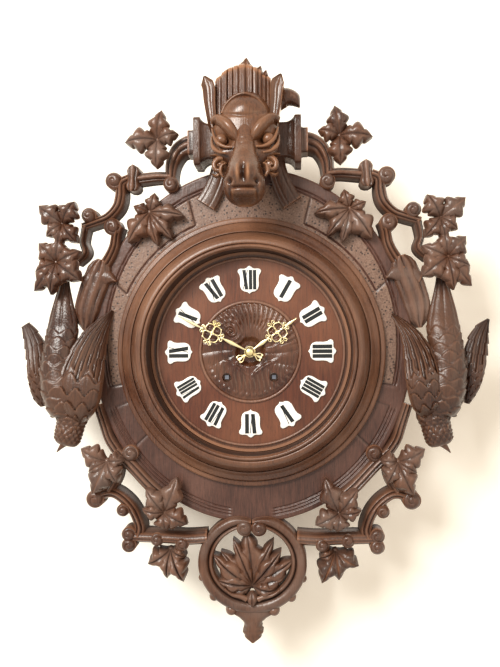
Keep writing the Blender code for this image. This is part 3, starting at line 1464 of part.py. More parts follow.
# Pierced scroll frames, one upper and one lower on each side
pendant_at = (0.0, BOARD_RISE - BOARD_HALF_HEIGHT - PENDANT_HANG)
pendant_room = turned_mesh(
    "pendant_room",
    [
        (0, FRAME_FRONT + LEAF_RISE),
        (PENDANT_RADIUS + SEAT, FRAME_FRONT + LEAF_RISE),
        (PENDANT_RADIUS + SEAT, 0),
        (0, 0),
    ],
    28,
    pendant_at,
)
pendant_space = helper(pendant_room)
neck_room = block_at(
    "neck_room", spool_at, neck_end + 1.0 + SEAT, SPOOL_TALL + 2 * FLANGE_GROW, 0.0, 2 * SPOOL_FRONT
)
neck_space = helper(neck_room)
for side, hand in ((-1, "left"), (1, "right")):
    upper = add_object(
        f"upper_scroll_{hand}",
        strand_mesh(
            "neck_stem",
            rim_point([16.0, 18.5, 21.5, 24.5, 26.5, 28.0], [36, 38, 36, 27, 16, 4], side),
            (20.0, 16.0, 12.0, 11.0, 12.0),
            count=6,
        ),
        WALNUT,
    )
    combine(
        upper,
        "UNION",
        knob_mesh("inner_knob", rim_point(28.0, 6, side), 8.5),
        strand_mesh("rail", rim_point([27.0, 31.0, 37.0], [14, 23, 36], side), (13.0, 14.0), count=3),
        block_at("knuckle", rim_point(37.0, 36, side), 7.5, 14.0, FRAME_BACK + 2.0, FRAME_FRONT + 2.0),
        knob_mesh("outer_volute", rim_point(41.5, 49, side), 9.5),
        strand_mesh(
            "upper_c",
            rim_point([38.0, 40.5, 43.0, 46.0, 50.0, 53.0, 56.5], [40, 42, 33, 27, 28, 35, 46], side),
            (13.0, 14.0, 15.0, 13.0, 11.0),
            count=6,
        ),
        knob_mesh("bead", rim_point(53.0, 46, side), 8.5),
        strand_mesh(
            "stem", rim_point([56.0, 60.0, 62.5, 66.0], [44, 38, 30, 36], side), (10.0, 9.0, 11.0), count=4
        ),
        knob_mesh("curl", rim_point(51.5, 17, side), 9.5),
        strand_mesh(
            "lower_c",
            rim_point([50.0, 53.0, 56.5, 60.5, 66.0], [12, 9, 4, 3, 6], side),
            (12.0, 14.0, 16.0),
            count=4,
        ),
        strand_mesh(
            "blade",
            rim_point([62.0, 66.5, 73.0, 78.0, 84.0], [8, 7, 10, 13, 14], side),
            (26.0, 27.0, 25.0, 12.0),
            count=4,
        ),
    )
    combine(upper, "DIFFERENCE", board_space, neck_space, bird_space[side][0], bird_space[side][1])

    lower = add_object(
        f"lower_scroll_{hand}",
        strand_mesh(
            "side_band", rim_point([109.0, 116.0, 121.0, 127.0], [4, 5, 7, 6], side), (12.0, 14.0), count=4
        ),
        WALNUT,
    )
    combine(
        lower,
        "UNION",
        knob_mesh("rim_knob", rim_point(128.5, -6, side), 9.0),
        strand_mesh(
            "diagonal", rim_point([125.0, 131.0, 142.0, 150.0], [8, 3, 3, 4], side), (16.0, 17.0), count=4
        ),
        strand_mesh("leaf_stem", rim_point([127.0, 131.5, 133.0], [8, 24, 40], side), (12.0, 11.0), count=4),
        knob_mesh("low_volute", rim_point(132.0, 57, side), 10.0),
        strand_mesh(
            "low_c",
            rim_point([132.0, 132.5, 134.5, 138.5, 142.5, 146.0, 147.0], [60, 46, 37, 34, 37, 46, 56], side),
            (14.0, 14.0, 15.0),
            count=6,
        ),
        knob_mesh("bump", rim_point(139.5, 43, side), 7.0),
        knob_mesh("low_knob", rim_point(145.5, 64, side), 12.0),
        strand_mesh(
            "low_rail", rim_point([145.5, 154.0, 165.5, 170.0], [60, 40, 23, 16], side), (15.0, 16.0), count=4
        ),
        leaf_mesh(
            "half_leaf", rim_point(156.5, 52, side), HALF_LEAF, side, FRAME_BACK + 4.0, FRAME_THICK - 4.0
        ),
    )
    combine(lower, "DIFFERENCE", board_space, pendant_space, bird_space[side][0])

# Vine leaves: place on the rim, then each leaf's offset from it and its lobes, and the level behind
LEAVES = (
    ("crest_leaf", (25.5, 53), (((0, 0), CREST_LEAF),), FRAME_FRONT + SEAT),
    ("rim_leaf", (39.5, -5), (((0, 0), RIM_LEAF),), CARVED_SEAT),
    ("outer_leaves", (58.5, 63), (((0, 0), OUTER_UPPER), ((8, -43), OUTER_LOWER)), FRAME_FRONT + SEAT),
    ("side_leaf", (126.0, 18), (((0, 0), SIDE_LEAF),), FRAME_FRONT + SEAT),
    ("lower_leaf", (150.0, 13), (((0, 0), LOWER_LEAF),), FRAME_FRONT + SEAT),
)
for name, place, sprays, back in LEAVES:
    for side, hand in ((-1, "left"), (1, "right")):
        meshes = []
        for (aside, up), lobes in sprays:
            heart = rim_point(*place, side) + (side * aside, up)
            meshes.append(leaf_mesh(name, heart, lobes, side, back))
        piece = add_object(f"{name}_{hand}", meshes[0], WALNUT)
        combine(piece, "UNION", *meshes[1:])

# Pendant: open ring that meets the board's foot, a vine leaf inside it, and a drop
ring_turn = np.radians(np.linspace(-90, 270, RING_STEPS, endpoint=False))
ring_unit = np.stack([np.cos(ring_turn), np.sin(ring_turn)], -1)
scallop = 1.0 + 0.03 * np.cos(6 * ring_turn)
ring_rings = []
for reach, front in (
    (0.0, FRAME_BACK),
    (0.0, FRAME_FRONT - 5.0),
    (0.5, FRAME_FRONT),
    (1.0, FRAME_FRONT - 6.0),
    (1.0, FRAME_BACK),
):
    radius = (PENDANT_RADIUS - 2.0) * scallop * (1 - reach) + (PENDANT_RADIUS - PENDANT_BAND) * reach
    ring_rings.append(at_front(np.asarray(pendant_at) + ring_unit * radius[:, None], front))
pendant = add_object("pendant", ring_lofted("pendant", ring_rings), WALNUT)
drop_top = pendant_at[1] - PENDANT_RADIUS + 6.0
drop_middle = (FRAME_BACK + FRAME_FRONT) / 2
drop = [(0.0, drop_top - share * FINIAL_LENGTH, drop_middle) for share in (0.0, 0.3, 0.55, 0.75, 1.0, 1.2)]
knob_level = pendant_at[1] + PENDANT_RADIUS - PENDANT_BAND + 2.0
combine(
    pendant,
    "UNION",
    leaf_mesh(
        "pendant_leaf",
        np.asarray(pendant_at) - (0, 26.0),
        PENDANT_LEAF,
        1,
        FRAME_BACK + 5.0,
        FRAME_THICK - 1.0,
    ),
    body_loft("drop", drop, [22, 14, 8, 8, 10, 2], [9, 9, 8, 8, 8, 2], 7),
)
for side in (-1, 1):
    combine(pendant, "UNION", knob_mesh("ring_end", (side * RING_KNOB, knob_level), RING_KNOB))
    for degrees in (118, 152):
        bump_at = polar(pendant_at, PENDANT_RADIUS - 1.0, 90 - side * degrees)
        combine(pendant, "UNION", knob_mesh("bump", bump_at, 5.5, FRAME_FRONT - 3.0))
combine(pendant, "DIFFERENCE", board_space)

for piece in CLOCK.objects:
    piece.data.shade_smooth()
    piece.data.set_sharp_from_angle(angle=math.radians(35))
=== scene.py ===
"""Carved walnut wall clock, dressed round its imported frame.

Carved pieces are worked out in millimetres as (x, z, front): x to the right, z up from the
dial's centre, front the distance from the wall. Angles on the board count from its top.
"""
import json
import math

import bmesh
import bpy
import numpy as np
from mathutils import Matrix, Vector

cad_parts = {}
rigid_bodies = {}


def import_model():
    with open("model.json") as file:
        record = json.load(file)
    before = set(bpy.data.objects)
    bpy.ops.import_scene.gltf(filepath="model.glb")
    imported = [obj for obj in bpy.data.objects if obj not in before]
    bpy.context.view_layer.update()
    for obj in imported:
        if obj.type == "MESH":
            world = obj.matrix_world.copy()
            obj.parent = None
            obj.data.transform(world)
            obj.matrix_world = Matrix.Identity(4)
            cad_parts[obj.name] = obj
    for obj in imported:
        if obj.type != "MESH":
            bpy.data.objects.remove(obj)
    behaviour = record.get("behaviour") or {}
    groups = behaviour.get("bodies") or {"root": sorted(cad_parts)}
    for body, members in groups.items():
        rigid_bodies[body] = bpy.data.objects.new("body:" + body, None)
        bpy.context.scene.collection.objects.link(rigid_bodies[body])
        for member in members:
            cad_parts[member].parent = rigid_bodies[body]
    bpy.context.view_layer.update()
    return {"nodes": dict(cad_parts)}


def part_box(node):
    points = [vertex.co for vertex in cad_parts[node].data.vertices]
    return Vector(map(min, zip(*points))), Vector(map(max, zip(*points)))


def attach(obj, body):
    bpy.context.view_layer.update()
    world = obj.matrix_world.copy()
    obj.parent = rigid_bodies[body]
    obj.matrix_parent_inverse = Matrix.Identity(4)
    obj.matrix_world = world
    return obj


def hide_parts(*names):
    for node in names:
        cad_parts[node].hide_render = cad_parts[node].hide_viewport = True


for old in list(bpy.data.objects):
    bpy.data.objects.remove(old, do_unlink=True)
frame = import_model()
nodes = frame["nodes"]

# Movement box: a plain case of planed softwood that hangs on the wall behind the carving. Its
# boards are glued at the corners, and a side door on two pin hinges lets the owner reach in.


def linear(code):
    """A hex colour such as #6B4636 as linear red, green, blue and alpha."""
    parts = np.array([int(code[i : i + 2], 16) for i in (1, 3, 5)]) / 255
    curve = np.where(parts <= 0.04045, parts / 12.92, ((parts + 0.055) / 1.055) ** 2.4)
    return (*curve.tolist(), 1.0)


def add_node(tree, kind, sockets=None, **settings):
    """A node with its settings; sockets take a value or a link from another node's output."""
    made = tree.nodes.new("ShaderNode" + kind)
    for key, value in settings.items():
        setattr(made, key, value)
    for socket, value in (sockets or {}).items():
        if isinstance(value, bpy.types.NodeSocket):
            tree.links.new(value, made.inputs[socket])
        else:
            made.inputs[socket].default_value = value
    return made


def new_material(name):
    """An empty node material, with its tree and its Principled shader."""
    made = bpy.data.materials.new(name)
    made.use_nodes = True
    return made, made.node_tree, made.node_tree.nodes["Principled BSDF"]


FACTOR, FIRST, SECOND, MIXED = 0, 6, 7, 2


def mixed(tree, factor, first, second, blend="MIX"):
    """The output of a colour mix of two colours or links."""
    sockets = {FACTOR: factor, FIRST: first, SECOND: second}
    return add_node(tree, "Mix", sockets, data_type="RGBA", blend_type=blend).outputs[MIXED]


def stretch(tree, value, low, high, start=0.0, end=1.0):
    """A value's range from low to high carried onto start to end, and held there."""
    sockets = {"Value": value, "From Min": low, "From Max": high, "To Min": start, "To Max": end}
    return add_node(tree, "MapRange", sockets).outputs["Result"]


def wood(
    name, dark, middle, light, grain, roughness, ground=False, figure=0.5, stain_and_shade=None, grey=None, gouge=None
):
    """Planed or carved wood whose grain runs along z.

    Long streaks of tone, short dark pores and a slow cloud of colour come from noise drawn out
    along the grain. The attribute wear is half on flat wood, less in a hollow and more on an
    edge: hollows hold dark wax and painted shade, and edges are worn pale with a painted highlight.
    Grain is the streaks' width in mm. The stain and painted shade near the wall take two distances
    from it in mm: sawn sides are dark and dull up to the first and clean from the second, and faces
    turned to the wall are painted dark as shade. Grey is what the wood has faded to in patches
    some 60 mm wide. Gouge is the width in mm of the shallow facets that a carver's gouge leaves.
    """
    made, tree, shader = new_material(name)
    place = add_node(tree, "TexCoord").outputs["Object"]
    across = 1000.0 / grain
    along = add_node(tree, "Mapping", {"Vector": place, "Scale": (across, across, across / 14)})
    sockets = {"Vector": along.outputs[0], "Scale": 1.0, "Detail": 5.0, "Distortion": 0.6}
    streak = add_node(tree, "TexNoise", sockets)
    fine = add_node(tree, "Mapping", {"Vector": place, "Scale": (across * 3, across * 3, across / 5)})
    pore = add_node(tree, "TexNoise", {"Vector": fine.outputs[0], "Scale": 1.0, "Detail": 2.0})
    cloud = add_node(tree, "TexNoise", {"Vector": place, "Scale": 14.0, "Detail": 3.0})
    wear_and_painted_light = add_node(tree, "Attribute", attribute_name="wear_and_painted_light").outputs["Fac"]
    tone = stretch(tree, streak.outputs[0], 0.5 - figure / 2, 0.5 + figure / 2)
    colour = mixed(tree, tone, linear(dark), linear(middle))
    warm = stretch(tree, cloud.outputs[0], 0.35, 0.7, 0.0, 0.35)
    colour = mixed(tree, warm, colour, linear(light))
    if grey:
        patch = add_node(tree, "TexNoise", {"Vector": place, "Scale": 16.0, "Detail": 4.0, "Distortion": 0.8})
        colour = mixed(tree, stretch(tree, patch.outputs[0], 0.44, 0.62, 0.0, 0.55), colour, linear(grey))
    holes = stretch(tree, pore.outputs[0], 0.60, 0.70, 0.0, 0.55)
    colour = mixed(tree, holes, colour, linear(dark))
    # Edges turn pale with wear and a painted highlight; hollows turn dark with wax and painted shade.
    pale_and_highlit = stretch(tree, wear_and_painted_light, 0.52, 0.80, 0.0, 0.65)
    colour = mixed(tree, pale_and_highlit, colour, linear(light))
    wax_and_shade = stretch(tree, wear_and_painted_light, 0.48, 0.24, 0.0, 0.85)
    colour = mixed(tree, wax_and_shade, colour, linear(dark))
    depth = mixed(tree, holes, streak.outputs[0], (0.0, 0.0, 0.0, 1.0))
    sheen = stretch(tree, cloud.outputs[0], 0.3, 0.7, roughness - 0.06, roughness + 0.08)
    # Stain and painted shade near the wall: sawn sides darken towards it, and faces turned to the wall are
    # painted dark as shade.
    if stain_and_shade:
        reach = add_node(tree, "SeparateXYZ", {0: place}).outputs["Y"]
        side = stretch(tree, reach, -stain_and_shade[1] / 1000, -stain_and_shade[0] / 1000, 0.0, 0.85)
        normal = add_node(tree, "NewGeometry").outputs["True Normal"]
        wallward_shade = add_node(tree, "SeparateXYZ", {0: normal}).outputs["Y"]
        wallward_shade = stretch(tree, wallward_shade, 0.2, 0.8, 0.0, 0.85)
        side = add_node(tree, "Math", {0: side, 1: wallward_shade}, operation="MAXIMUM").outputs[0]
        colour = mixed(tree, side, colour, linear(dark))
        sheen = stretch(tree, side, 0.0, 0.85, sheen, 0.8)
    if ground:
        colour, depth = punched(tree, place, colour, depth, dark)
    tree.links.new(colour, shader.inputs["Base Color"])
    tree.links.new(sheen, shader.inputs["Roughness"])
    bump = add_node(tree, "Bump", {"Height": depth, "Strength": 0.35, "Distance": 0.0004})
    if gouge:
        sockets = {"Vector": place, "Scale": 1000.0 / gouge, "Detail": 1.0, "Distortion": 0.5}
        facet = add_node(tree, "TexNoise", sockets).outputs[0]
        sockets = {"Height": facet, "Strength": 0.28, "Distance": 0.0010, "Normal": bump.outputs[0]}
        bump = add_node(tree, "Bump", sockets)
    tree.links.new(bump.outputs[0], shader.inputs["Normal"])
    shader.inputs["IOR"].default_value = 1.46
    return made


def dress(material, *names):
    """Gives CAD nodes a material."""
    for name in names:
        nodes[name].data.materials.clear()
        nodes[name].data.materials.append(material)


# Stained pine: dry and matt, in broad soft streaks, plainly cheaper than the carving.
box_wood = wood("planed_pine_stained", "#5A3F2A", "#8A6A48", "#A58560", 2.4, 0.58)
dress(box_wood, "movement_box", "side_door")

# Hanger plate and gong post: blackened iron from the forge, screwed to the wood.
# The iron is near black, mottled by forge scale, with a dull and broken shine.
IRON_MOTTLE_MM = 3.0
black_iron, tree, shader = new_material("blackened_iron")
place = add_node(tree, "TexCoord").outputs["Object"]
mottle = add_node(tree, "TexNoise", {"Vector": place, "Scale": 1000.0 / IRON_MOTTLE_MM, "Detail": 4.0})
scale_colour = mixed(tree, mottle.outputs[0], linear("#17161A"), linear("#3A3634"))
tree.links.new(scale_colour, shader.inputs["Base Color"])
tree.links.new(stretch(tree, mottle.outputs[0], 0.3, 0.7, 0.45, 0.7), shader.inputs["Roughness"])
shader.inputs["Metallic"].default_value = 0.8
dents = add_node(tree, "Bump", {"Height": mottle.outputs[0], "Strength": 0.4, "Distance": 0.0004})
tree.links.new(dents.outputs[0], shader.inputs["Normal"])
dress(black_iron, "hanger_plate", "gong_block")

# Movement: sheet brass plates and wheels, stamped and grained with fine emery, on steel arbors.
# The brass has gone brown in patches, and the steel is polished with a blue cast.


def grained_metal(name, bright, dull, roughness, grain_mm):
    """Metal with fine rubbed lines across x and clouds of tarnish."""
    made, tree, shader = new_material(name)
    place = add_node(tree, "TexCoord").outputs["Object"]
    across = 1000.0 / grain_mm
    lines = add_node(tree, "Mapping", {"Vector": place, "Scale": (across / 12, across, across)})
    grain = add_node(tree, "TexNoise", {"Vector": lines.outputs[0], "Scale": 1.0, "Detail": 3.0})
    cloud = add_node(tree, "TexNoise", {"Vector": place, "Scale": 60.0, "Detail": 4.0})
    tarnish = stretch(tree, cloud.outputs[0], 0.42, 0.68)
    tree.links.new(mixed(tree, tarnish, linear(bright), linear(dull)), shader.inputs["Base Color"])
    spread = stretch(tree, cloud.outputs[0], 0.3, 0.7, roughness - 0.05, roughness + 0.12)
    tree.links.new(spread, shader.inputs["Roughness"])
    bump = add_node(tree, "Bump", {"Height": grain.outputs[0], "Strength": 0.15, "Distance": 0.0002})
    tree.links.new(bump.outputs[0], shader.inputs["Normal"])
    shader.inputs["Metallic"].default_value = 1.0
    return made


# Movement brass: yellow where rubbed and brown where tarnished, with soft blurred highlights.
movement_brass = grained_metal("aged_movement_brass", "#C9A35A", "#8A6A34", 0.32, 0.5)
# Blued steel: a cool grey that stands out against the brass.
steel = grained_metal("polished_blued_steel", "#8C8F99", "#565A66", 0.28, 0.4)
# Gilt brass: pale gold, the brightest metal on the clock, so that the hands read from afar.
gilt_brass = grained_metal("gilt_hand_brass", "#F8EBC0", "#E0CA90", 0.30, 0.4)
dress(movement_brass, "front_plate", "back_plate", "going_barrel", "intermediate_wheel", "centre_wheel")
dress(movement_brass, "third_wheel", "escape_wheel", "cannon_pinion", "minute_wheel", "hour_wheel")
dress(movement_brass, "strike_barrel", "pin_wheel", "fly")
dress(steel, "going_winding_arbor", "strike_winding_arbor", "pallet_anchor", "hammer", "gong_coil")
dress(gilt_brass, "pendulum")

# Oval board: one wide walnut plank, sawn to an oval and rounded at the rim. The upper half has a
# punched ground inside cut lines, and the lower rim carries three fine reeds.
BOARD_LOW, BOARD_HIGH = (np.array(corner) * 1000 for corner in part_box("case_board"))
HALF_WIDTH = (BOARD_HIGH[0] - BOARD_LOW[0]) / 2
HALF_HEIGHT = (BOARD_HIGH[2] - BOARD_LOW[2]) / 2
RISE = (BOARD_HIGH[2] + BOARD_LOW[2]) / 2
BOARD_BACK, BOARD_FRONT = -BOARD_HIGH[1], -BOARD_LOW[1]
OPENING = 66.0
DOT_MM = 3.6
SPECK_MM = 1.6
# Pale tone of the punched ground: partly a lighter ground and partly painted sheen of the window's light.
PALE_GROUND_SHEEN = "#83695A"
WALNUT = ("#1C0E09", "#553527", "#8B6149")
BOARD_WALNUT = ("#24130E", "#57372D", "#7C584B")


def world(points):
    """(x, z, front) in millimetres as x, y, z in metres."""
    points = np.asarray(points, float)
    return np.stack([points[..., 0], -points[..., 2], points[..., 1]], -1) / 1000


def punched(tree, place, colour, depth, dark):
    """Punched dots, one to each cell of a scattered net, where the attribute ground is 1.

    The ground between the dots is paler in fine specks: partly a lighter ground and partly painted sheen of
    the window's light.
    """
    dots = add_node(tree, "TexVoronoi", {"Vector": place, "Scale": 1000.0 / DOT_MM, "Randomness": 0.8})
    hole = stretch(tree, dots.outputs["Distance"], 0.20, 0.36, 1.0, 0.0)
    where = add_node(tree, "Attribute", attribute_name="ground").outputs["Fac"]
    here = add_node(tree, "Math", {0: hole, 1: where}, operation="MULTIPLY").outputs[0]
    # Fine specks that pale the ground: painted sheen over a lighter ground.
    speck = add_node(tree, "TexNoise", {"Vector": place, "Scale": 1000.0 / SPECK_MM, "Detail": 2.0})
    pale_and_highlit = stretch(tree, speck.outputs[0], 0.35, 0.65, 0.35, 0.95)
    pale_and_highlit = add_node(tree, "Math", {0: where, 1: pale_and_highlit}, operation="MULTIPLY").outputs[0]
    colour = mixed(tree, pale_and_highlit, colour, linear(PALE_GROUND_SHEEN))
    return mixed(tree, here, colour, linear(dark)), mixed(tree, here, depth, (0.0, 0.0, 0.0, 1.0))


def turn_outwards(mesh):
    """Merges the seams and poles of a mesh and points its faces outwards."""
    shape = bmesh.new()
    shape.from_mesh(mesh)
    bmesh.ops.remove_doubles(shape, verts=shape.verts, dist=2e-6)
    bmesh.ops.recalc_face_normals(shape, faces=shape.faces)
    shape.to_mesh(mesh)
    shape.free()


def read(parts, key, width=1, kind=float):
    """What a mesh's parts say under a key, one row to each part."""
    values = np.empty(len(parts) * width, kind)
    parts.foreach_get(key, values)
    return values.reshape(-1, width) if width > 1 else values


def mark_wear_and_painted_light(mesh, reach=0.0012, passes=2):
    """Writes the attribute wear: half, plus how far each point stands out from its neighbours.

    The mean of a point's neighbours is taken from the point, along its normal, and divided by
    reach; then each value is averaged with its neighbours' a few times. Hollows so take painted
    shade and dark wax, and edges a painted highlight and pale worn wood.
    """
    count = len(mesh.vertices)
    spots, normals = read(mesh.vertices, "co", 3), read(mesh.vertex_normals, "vector", 3)
    ends = read(mesh.edges, "vertices", 2, int)
    ends = np.vstack([ends, ends[:, ::-1]])
    number = np.maximum(np.bincount(ends[:, 0], minlength=count), 1)

    def around(values):
        return np.bincount(ends[:, 0], values[ends[:, 1]], count) / number

    mean = np.stack([around(spots[:, axis]) for axis in range(3)], -1)
    stand = ((spots - mean) * normals).sum(1) / reach
    for _ in range(passes):
        stand = (stand + around(stand)) / 2
    wear_and_painted_light = mesh.attributes.new("wear_and_painted_light", "FLOAT", "POINT")
    wear_and_painted_light.data.foreach_set("value", np.clip(0.5 + stand, 0, 1).astype(np.float32))


def grid_faces(rows, columns, start):
    """Quads of a grid whose columns close round; rows run from end to end."""
    index = start + np.arange(rows * columns).reshape(rows, columns)
    across = np.roll(index, -1, axis=1)
    return np.stack([index[:-1], across[:-1], across[1:], index[1:]], -1).reshape(-1, 4)


def surface(name, grids, materials, sharp=50.0, marks=None):
    """One mesh from grids of rings. Marks holds attributes' values, one array to each grid.

    Materials is one for all, or a list with a pair for each grid: its material and its slot.
    """
    if not isinstance(materials, list):
        materials = [(materials, 0)] * len(grids)
    grids = [np.asarray(grid, float) for grid in grids]
    starts = np.cumsum([0] + [grid.shape[0] * grid.shape[1] for grid in grids])
    faces = [grid_faces(*grid.shape[:2], start) for grid, start in zip(grids, starts)]
    points = world(np.concatenate([grid.reshape(-1, 3) for grid in grids]))
    quads = np.concatenate(faces)
    mesh = bpy.data.meshes.new(name)
    mesh.vertices.add(len(points))
    mesh.vertices.foreach_set("co", points.ravel())
    mesh.loops.add(quads.size)
    mesh.loops.foreach_set("vertex_index", quads.ravel())
    mesh.polygons.add(len(quads))
    mesh.polygons.foreach_set("loop_start", np.arange(0, quads.size, 4))
    owner = np.concatenate([np.full(len(quad), slot) for quad, (_, slot) in zip(faces, materials)])
    mesh.polygons.foreach_set("material_index", owner)
    for key, values in (marks or {}).items():
        made = mesh.attributes.new(key, "FLOAT", "POINT")
        made.data.foreach_set("value", np.concatenate([v.ravel() for v in values]).astype(np.float32))
    mesh.update(calc_edges=True)
    turn_outwards(mesh)
    mark_wear_and_painted_light(mesh)
    mesh.shade_smooth()
    mesh.set_sharp_from_angle(angle=math.radians(sharp))
    by_slot = {slot: material for material, slot in materials}
    for slot in sorted(by_slot):
        mesh.materials.append(by_slot[slot])
    made = bpy.data.objects.new(name, mesh)
    bpy.context.scene.collection.objects.link(made)
    return made


def stand_for(piece, slot, *names, body="case"):
    """The piece rides on a body and stands for CAD nodes, which it hides; slot is not used."""
    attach(piece, body)
    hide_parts(*names)


def closed(rings):
    """Rings with each end drawn in to its middle, so that the shape is closed."""
    rings = np.asarray(rings, float)
    first = np.broadcast_to(rings[0].mean(0), rings[:1].shape)
    last = np.broadcast_to(rings[-1].mean(0), rings[:1].shape)
    return np.concatenate([first, rings, last])


def rim_point(degrees, out, side=1):
    """A place set out from the oval rim: degrees from the top, then millimetres outwards."""
    angle = np.radians(degrees)
    x = side * np.sin(angle) * (HALF_WIDTH + np.asarray(out, float))
    z = RISE + np.cos(angle) * (HALF_HEIGHT + np.asarray(out, float))
    return np.stack(np.broadcast_arrays(x, z), -1)


def groove(distance, half):
    """A rounded cut, 1 on its line and 0 past its half width."""
    return np.exp(-((distance / half) ** 2))


BEZEL_RADIUS = -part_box("bezel_ring")[0][0] * 1000
TURNS = 512
LINE_DEEP = 1.3
RIM_LINES = (-12.0, -15.5)
REEDS = (-5.0, -8.5, -12.0)
PANEL_FROM, PANEL_TO = 24.0, 66.0
PUNCHED_TO, REEDED_FROM = 104.0, 112.0
CROSS_LINES = (PANEL_FROM, PANEL_TO, PUNCHED_TO, REEDED_FROM, 128.0)
PANEL_MARGIN = 5.0


def board_rings():
    """Rings from the opening out over the face to the rim and back over the edge.

    Heights are the flat face less the cut lines: two lines and an inner one round the upper
    half, cross lines at their ends, and reeds along the lower rim. Ground is 1 inside the lines.
    """
    turn = np.arange(TURNS) * 360.0 / TURNS
    heading = np.stack([np.sin(np.radians(turn)), np.cos(np.radians(turn))], -1)
    circle, start = OPENING * heading, (BEZEL_RADIUS - 6.0) * heading
    share = np.linspace(0, 1, 96)[:, None, None]
    face = start + (rim_point(turn, -2.6) - start) * share
    room = np.linalg.norm(rim_point(turn, 0.0) - start, axis=1)
    out = -room * (1 - share[..., 0])
    lift = np.abs((turn + 180) % 360 - 180)[None, :]
    radius = np.linalg.norm(face, axis=-1)
    upper = (lift < PUNCHED_TO) & (lift > 8)
    lower = (lift > REEDED_FROM) & (lift < 172)
    panel = (lift > PANEL_FROM) & (lift < PANEL_TO)
    cut = np.zeros_like(radius)
    for line in RIM_LINES:
        cut = np.maximum(cut, groove(out - line, 0.9) * upper)
    cut = np.maximum(cut, groove(radius - BEZEL_RADIUS - PANEL_MARGIN, 0.9) * panel)
    for line in REEDS:
        cut = np.maximum(cut, groove(out - line, 1.1) * lower)
    for degrees in CROSS_LINES:
        along = np.radians(lift - degrees) * radius
        margin = PANEL_MARGIN if degrees <= PANEL_TO else 0.0
        inside = (out < RIM_LINES[0]) & (radius > BEZEL_RADIUS + margin)
        cut = np.maximum(cut, groove(along, 1.0) * inside)
    height = BOARD_FRONT - LINE_DEEP * cut
    ground = ((lift < PUNCHED_TO) & (out < RIM_LINES[1] - 1) & (cut < 0.2)).astype(float)
    top = np.concatenate([face, height[..., None]], -1)
    edge = [(-1.2, -0.5), (-0.35, -1.6), (0.0, -3.4), (0.0, BOARD_BACK - BOARD_FRONT)]
    sides = [np.column_stack([rim_point(turn, o), np.full(TURNS, BOARD_FRONT + drop)]) for o, drop in edge]
    hole = [np.column_stack([circle, np.full(TURNS, level)]) for level in (BOARD_BACK, BOARD_FRONT)]
    rings = np.concatenate([top, sides, hole, top[:1]])
    marks = np.zeros(rings.shape[:2])
    marks[: len(ground)] = ground
    return rings, marks


# Carved walnut: waxed brown with dark wax and painted shade in the hollows, pale rubbed edges with a
# painted highlight, sides darkened near the wall by stain and painted shade, backs painted dark as
# shade, and patches faded to grey.
carved_walnut = wood(
    "carved_walnut_waxed", *WALNUT, 1.3, 0.29, stain_and_shade=(78.0, 95.0), grey="#6F5C53", gouge=4.0
)
# Punched walnut: the same wood, duller, with a pale dotted ground whose fine specks are painted sheen
# of the window's light.
punched_walnut = wood(
    "punched_walnut_board", *BOARD_WALNUT, 1.3, 0.36, ground=True, stain_and_shade=(60.0, 76.0), gouge=5.0
)
rings, ground = board_rings()
board = surface("case_board_carved", [rings], punched_walnut, marks={"ground": [ground]})
stand_for(board, "carved_walnut", "case_board")

# Bezel: a walnut ring turned on the lathe, with a bead, a cove and a broad ogee that rises to a
# rounded lip. It is glued to the board and polished; its bore is painted nearly black as shade.
BEZEL_LOW, BEZEL_HIGH = (np.array(corner) * 1000 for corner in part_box("bezel_ring"))
BEZEL_SEAT, BEZEL_TOP = -BEZEL_HIGH[1], -BEZEL_LOW[1]
BEZEL_BORE = 110.6
MOULDING = (
    (0.00, 0.00), (0.00, 0.12), (0.012, 0.15), (0.05, 0.17), (0.10, 0.175), (0.14, 0.19), (0.152, 0.17),
    (0.165, 0.17), (0.175, 0.26), (0.20, 0.30), (0.27, 0.35), (0.34, 0.40), (0.41, 0.47), (0.445, 0.50),
    (0.463, 0.50), (0.473, 0.45), (0.49, 0.45), (0.50, 0.54), (0.54, 0.66), (0.60, 0.79), (0.67, 0.89),
    (0.75, 0.955), (0.82, 0.97), (0.85, 0.955), (0.86, 0.91), (0.876, 0.91), (0.886, 0.97), (0.92, 1.00),
    (0.955, 0.99), (0.985, 0.94), (1.00, 0.86), (1.00, 0.00),
)


def full_turn(count):
    """Angles of even steps once round a circle."""
    return np.arange(count) * 2 * math.pi / count


def turned(profile, steps=256, centre=(0.0, 0.0)):
    """A profile of (radius, front) points carried round an axis that points to the front."""
    profile = np.asarray(profile, float)
    angle = full_turn(steps)
    x = centre[0] + profile[:, :1] * np.cos(angle)
    z = centre[1] + profile[:, :1] * np.sin(angle)
    return np.stack([x, z, np.broadcast_to(profile[:, 1:], x.shape)], -1)


def rounded(profile, every=4, tension=0.28):
    """A profile with points added on a smooth curve through it, and its corners kept close."""
    profile = np.asarray(profile, float)
    ends = np.vstack([profile[:1], profile, profile[-1:]])
    t = (np.arange(every) / every)[None, :, None]
    a, b, c, d = (ends[i : len(ends) - 3 + i][:, None] for i in range(4))
    slope_b, slope_c = (c - a) * tension, (d - b) * tension
    curve = b + slope_b * t + (3 * (c - b) - 2 * slope_b - slope_c) * t**2
    curve = curve + (slope_b + slope_c - 2 * (c - b)) * t**3
    return np.vstack([curve.reshape(-1, profile.shape[1]), profile[-1:]])


bezel_profile = [
    (BEZEL_RADIUS - (BEZEL_RADIUS - BEZEL_BORE) * inwards, BEZEL_SEAT + (BEZEL_TOP - BEZEL_SEAT) * up)
    for inwards, up in MOULDING
]
# Turned walnut: warmer and smoother than the carving, with long highlights along each moulding.
turned_walnut = wood("turned_walnut_polished", "#2E1A13", "#6C4633", "#A2765A", 1.6, 0.30, figure=0.7)
